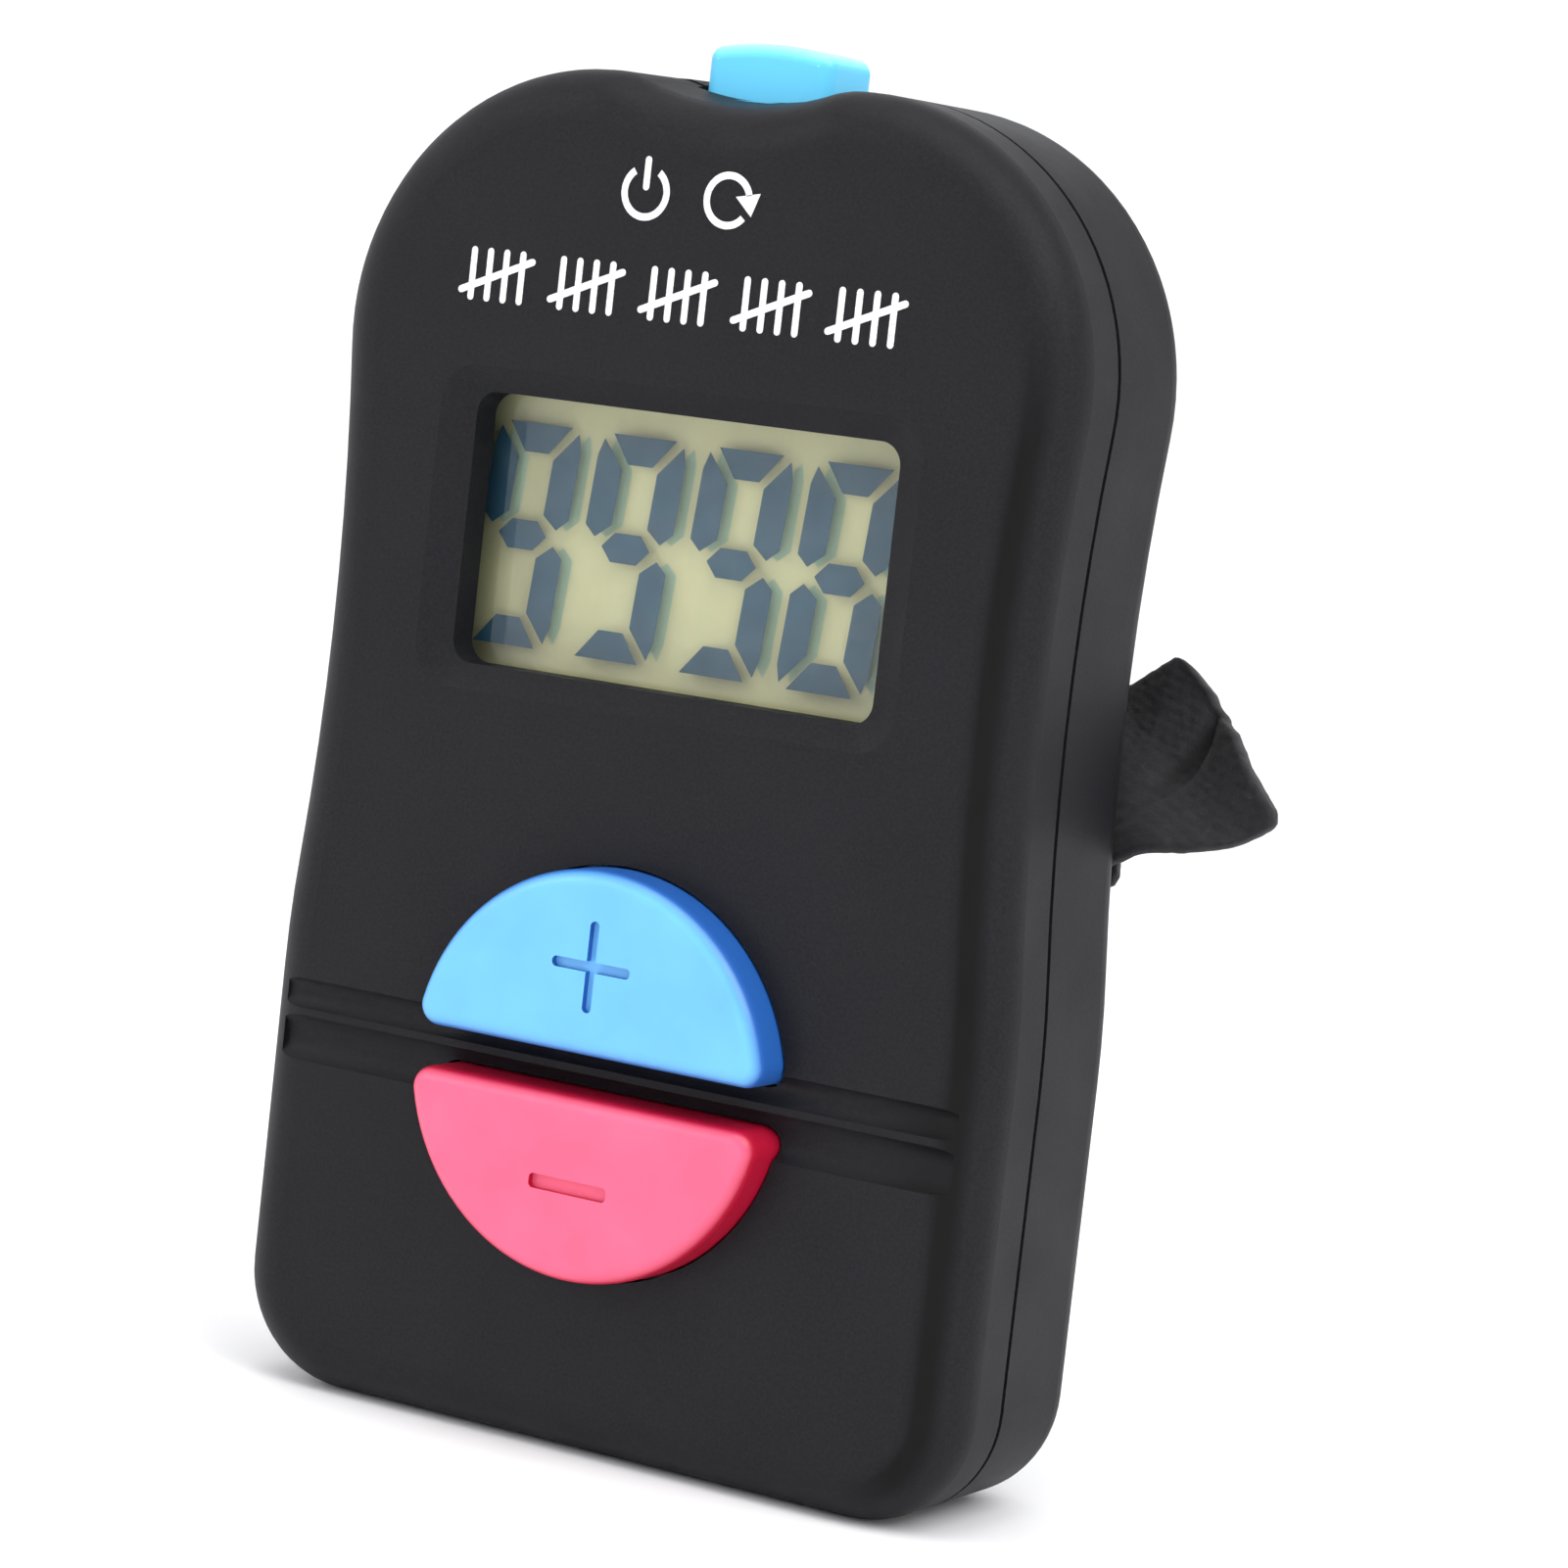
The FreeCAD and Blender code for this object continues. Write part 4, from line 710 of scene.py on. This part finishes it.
# Stations along the strap from its showing end, round the finger, to its hidden end: x, depth behind the
# front face, height above the strap's level, and how far the upper edge leans to the left and to the back.
STRAP_STATIONS = [
    (22.7, 15.5, 2.6, 3.66, 1.33),
    (21.1, 15.5, 1.5, 3.38, 1.67),
    (19.3, 15.2, 0.7, 3.1, 2.48),
    (17.8, 14.9, 0.5, 2.5, 2.9),
    (16.2, 14.6, 0.2, 1.5, 2.1),
    (13.8, 13.9, 0.0, 0.6, 1.1),
    (11.4, 12.9, 0.0, 0.0, 0.4),
    (7.4, 10.9, 0.0, 0.0, 0.0),
    (3.5, 10.6, 0.0, 0.0, 0.0),
    (0.0, 10.6, 0.0, 0.0, 0.0),
    (-3.5, 10.6, 0.0, 0.0, 0.0),
    (-7.4, 10.9, 0.0, 0.0, 0.0),
    (-11.4, 13.6, 0.0, 0.0, 0.0),
    (-13.0, 19.0, 0.0, 0.0, 0.0),
    (-11.6, 25.0, 0.0, 0.0, 0.0),
    (-6.5, 29.3, 0.0, 0.0, 0.0),
    (0.0, 30.6, 0.0, 0.0, 0.0),
    (6.5, 28.6, 0.0, 0.0, 0.0),
    (10.3, 24.0, 0.0, 0.0, 0.0),
    (12.4, 19.3, -0.2, 0.2, 0.6),
    (14.6, 17.0, -0.5, 0.9, 1.8),
    (16.6, 16.8, -0.8, 1.7, 2.4),
]
END_ROUNDING = 0.6
SELVEDGE = 0.55
RIB_HEIGHT = 0.05
RIB_PITCH = 0.75
RIBS_ACROSS = 10
NAPS = ((0.06, 1.9), (0.05, 5.3))

# The crease runs in from the showing end. Its place and its widths across the strap are shares of the half
# width, its slope is such a share for each millimetre of run, and its depths and runs are in millimetres.
CREASE_PLACE = 0.33
CREASE_SLOPE = 0.16
CREASE_DEPTH = 1.2
CREASE_WIDTH = 0.7
CREASE_LINE = 0.7
CREASE_LINE_WIDTH = 0.09
CREASE_FULL_TO = 3.5
CREASE_ENDS_AT = 7.0
NOTCH_DEPTH = 0.5
NOTCH_WIDTH = 0.25
NOTCH_RUN = 3.0
# The dark line at its bottom: x and height above the strap's level, at both ends.
CREASE_LINE_ENDS = ((21.5, 3.7), (19.2, -1.4))
CREASE_LINE_FADE_FROM = 3.0


def strap_level():
    """The height of the middle of the strap where it lies level, from the CAD band's lower edge."""
    return lowest("finger_strap").z + STRAP_HALF


def crease_shade(paint):
    """The dark line at the bottom of the strap's crease, from 0 to 1."""
    start, end = [Vector((x, 0, strap_level() + rise)) for x, rise in CREASE_LINE_ENDS]
    ahead = (end - start).normalized()
    aside = Vector((ahead.z, 0, -ahead.x))
    from_start = paint.vector_math("SUBTRACT", paint.place, start).outputs["Vector"]
    away = paint.vector_math("DOT_PRODUCT", from_start, aside).outputs["Value"]
    run = paint.vector_math("DOT_PRODUCT", from_start, ahead).outputs["Value"]
    line = paint.between(paint.calculate("ABSOLUTE", away), 0.45, 0.1)
    fade = paint.between(run, (end - start).length, CREASE_LINE_FADE_FROM, 0.0, 0.9)
    return paint.calculate("MULTIPLY", line, fade)


def webbing_paint():
    """Black webbing with a worn, slightly dusty loop pile."""
    paint = Paint("strap_webbing", srgb(34, 34, 37), 0.85, Sheen_Weight=0.08, Sheen_Roughness=0.4)
    fuzz = paint.noise(0.22, 5, 0.75)
    patch = paint.noise(1.6, 3, 0.6)
    tone = paint.blend(patch, srgb(11, 11, 13), srgb(20, 20, 23))
    worn = paint.blend(paint.between(fuzz, 0.4, 0.72), tone, srgb(32, 32, 36))
    paint.set("Base Color", paint.blend(crease_shade(paint), worn, srgb(4, 4, 5)))
    paint.set("Roughness", paint.between(patch, 0.3, 0.7, 0.75, 0.92))
    paint.bump(fuzz, 0.08, 0.8)
    return paint.material


def smooth_line(points, count):
    """count points on a Catmull-Rom line through the given ones, evenly spread by length, and that length."""
    points = np.array(points, float)
    padded_points = np.vstack([2 * points[0] - points[1], points, 2 * points[-1] - points[-2]])
    dense = []
    for i in range(len(points) - 1):
        p0, p1, p2, p3 = padded_points[i:i + 4]
        for s in np.linspace(0, 1, LINE_STEPS, endpoint=False):
            square = (2 * p0 - 5 * p1 + 4 * p2 - p3) * s ** 2
            cube = (3 * p1 - p0 - 3 * p2 + p3) * s ** 3
            dense.append((2 * p1 + (p2 - p0) * s + square + cube) / 2)
    dense = np.array(dense + [points[-1]])
    steps = np.linalg.norm(np.diff(dense[:, :3], axis=0), axis=1)
    run = np.concatenate([[0], np.cumsum(steps)])
    wanted = np.linspace(0, run[-1], count)
    line = np.column_stack([np.interp(wanted, run, column) for column in dense.T])
    return line, run[-1]


def unit(vectors):
    return vectors / np.linalg.norm(vectors, axis=1)[:, None]


def rounding(run, length):
    """How much the strap's two ends draw in its edges, so that their corners are round."""
    to_end = min(run, length - run, END_ROUNDING) / END_ROUNDING
    return END_ROUNDING * (1 - math.sqrt(1 - (1 - to_end) ** 2))


def fold(along, spread, run):
    """How far the crease that runs in from the showing end moves a point of the webbing."""
    fade = min(1.0, max(0.0, (CREASE_ENDS_AT - run) / (CREASE_ENDS_AT - CREASE_FULL_TO)))
    away = abs(spread - CREASE_PLACE + CREASE_SLOPE * run)
    valley = CREASE_DEPTH * max(0.0, 1 - away / CREASE_WIDTH)
    line = CREASE_LINE * math.exp(-((away / CREASE_LINE_WIDTH) ** 2))
    notch = NOTCH_DEPTH * max(0.0, 1 - away / NOTCH_WIDTH) * max(0.0, 1 - run / NOTCH_RUN)
    return np.array([0.0, (valley + line) * fade, 0.0]) + along * notch


def webbing_height(run, spread):
    """Half the webbing's thickness at a point, with the ribs of its weave. It thins at its edges."""
    full = math.sqrt(max(0.0, 1 - abs(spread) ** 8))
    rib = math.sin(2 * math.pi * run / RIB_PITCH) * math.sin(math.pi * spread * RIBS_ACROSS)
    return STRAP_THICK / 2 * (SELVEDGE + (1 - SELVEDGE) * full) + RIB_HEIGHT * rib


def webbing_side(build, line, length, side):
    """Rows of vertices on one side of the webbing, with the relief of its weave and nap."""
    front_face = lowest("front_shell").y
    centres = np.column_stack([line[:, 0], line[:, 1] + front_face, line[:, 2] + strap_level()])
    lean, tip = line[:, 3], line[:, 4]
    along = unit(np.gradient(centres, axis=0))
    across = np.column_stack([-lean, tip, np.sqrt(STRAP_HALF ** 2 - lean ** 2 - tip ** 2)]) / STRAP_HALF
    outward = unit(np.cross(along, across)) * side
    rows = []
    for i, run in enumerate(np.linspace(0, length, len(line))):
        half = STRAP_HALF - rounding(run, length)
        row = []
        for spread in np.linspace(-1, 1, STRAP_COLUMNS):
            point = centres[i] + across[i] * half * spread + fold(along[i], spread, run)
            point = point + outward[i] * webbing_height(run, spread)
            nap = sum(height * noise.noise(Vector(point) * density) for height, density in NAPS)
            row.append(build.verts.new(Vector(point + outward[i] * nap) * MM))
        rows.append(row)
    return rows


def join_sides(build, front, back):
    """Faces over both sides of the webbing, along its two edges and across its two ends."""
    for i in range(STRAP_ROWS - 1):
        for j in range(STRAP_COLUMNS - 1):
            build.faces.new((front[i][j], front[i][j + 1], front[i + 1][j + 1], front[i + 1][j]))
            build.faces.new((back[i][j], back[i + 1][j], back[i + 1][j + 1], back[i][j + 1]))
        build.faces.new((front[i][0], front[i + 1][0], back[i + 1][0], back[i][0]))
        build.faces.new((front[i][-1], back[i][-1], back[i + 1][-1], front[i + 1][-1]))
    for j in range(STRAP_COLUMNS - 1):
        build.faces.new((front[0][j], back[0][j], back[0][j + 1], front[0][j + 1]))
        build.faces.new((front[-1][j], front[-1][j + 1], back[-1][j + 1], back[-1][j]))


def add_strap():
    """One strip of webbing that goes under the bar, round the finger and back, for the CAD's plain band."""
    line, length = smooth_line(STRAP_STATIONS, STRAP_ROWS)
    build = bmesh.new()
    front = webbing_side(build, line, length, 1)
    back = webbing_side(build, line, length, -1)
    join_sides(build, front, back)
    item = mesh_item("finger_strap_webbing", build)
    shade_smooth(item)
    item.data.materials.append(webbing_paint())
    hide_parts("finger_strap")
    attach(item, "case")


# ---------------------------------------------------------------- the whole scene

add_camera()
light_world()
add_floor()
add_lamps()
paint_case_and_keys()
paint_display()
paint_inner_pieces()
add_digits()
add_print()
add_strap()
bpy.context.scene.view_settings.view_transform = "Standard"
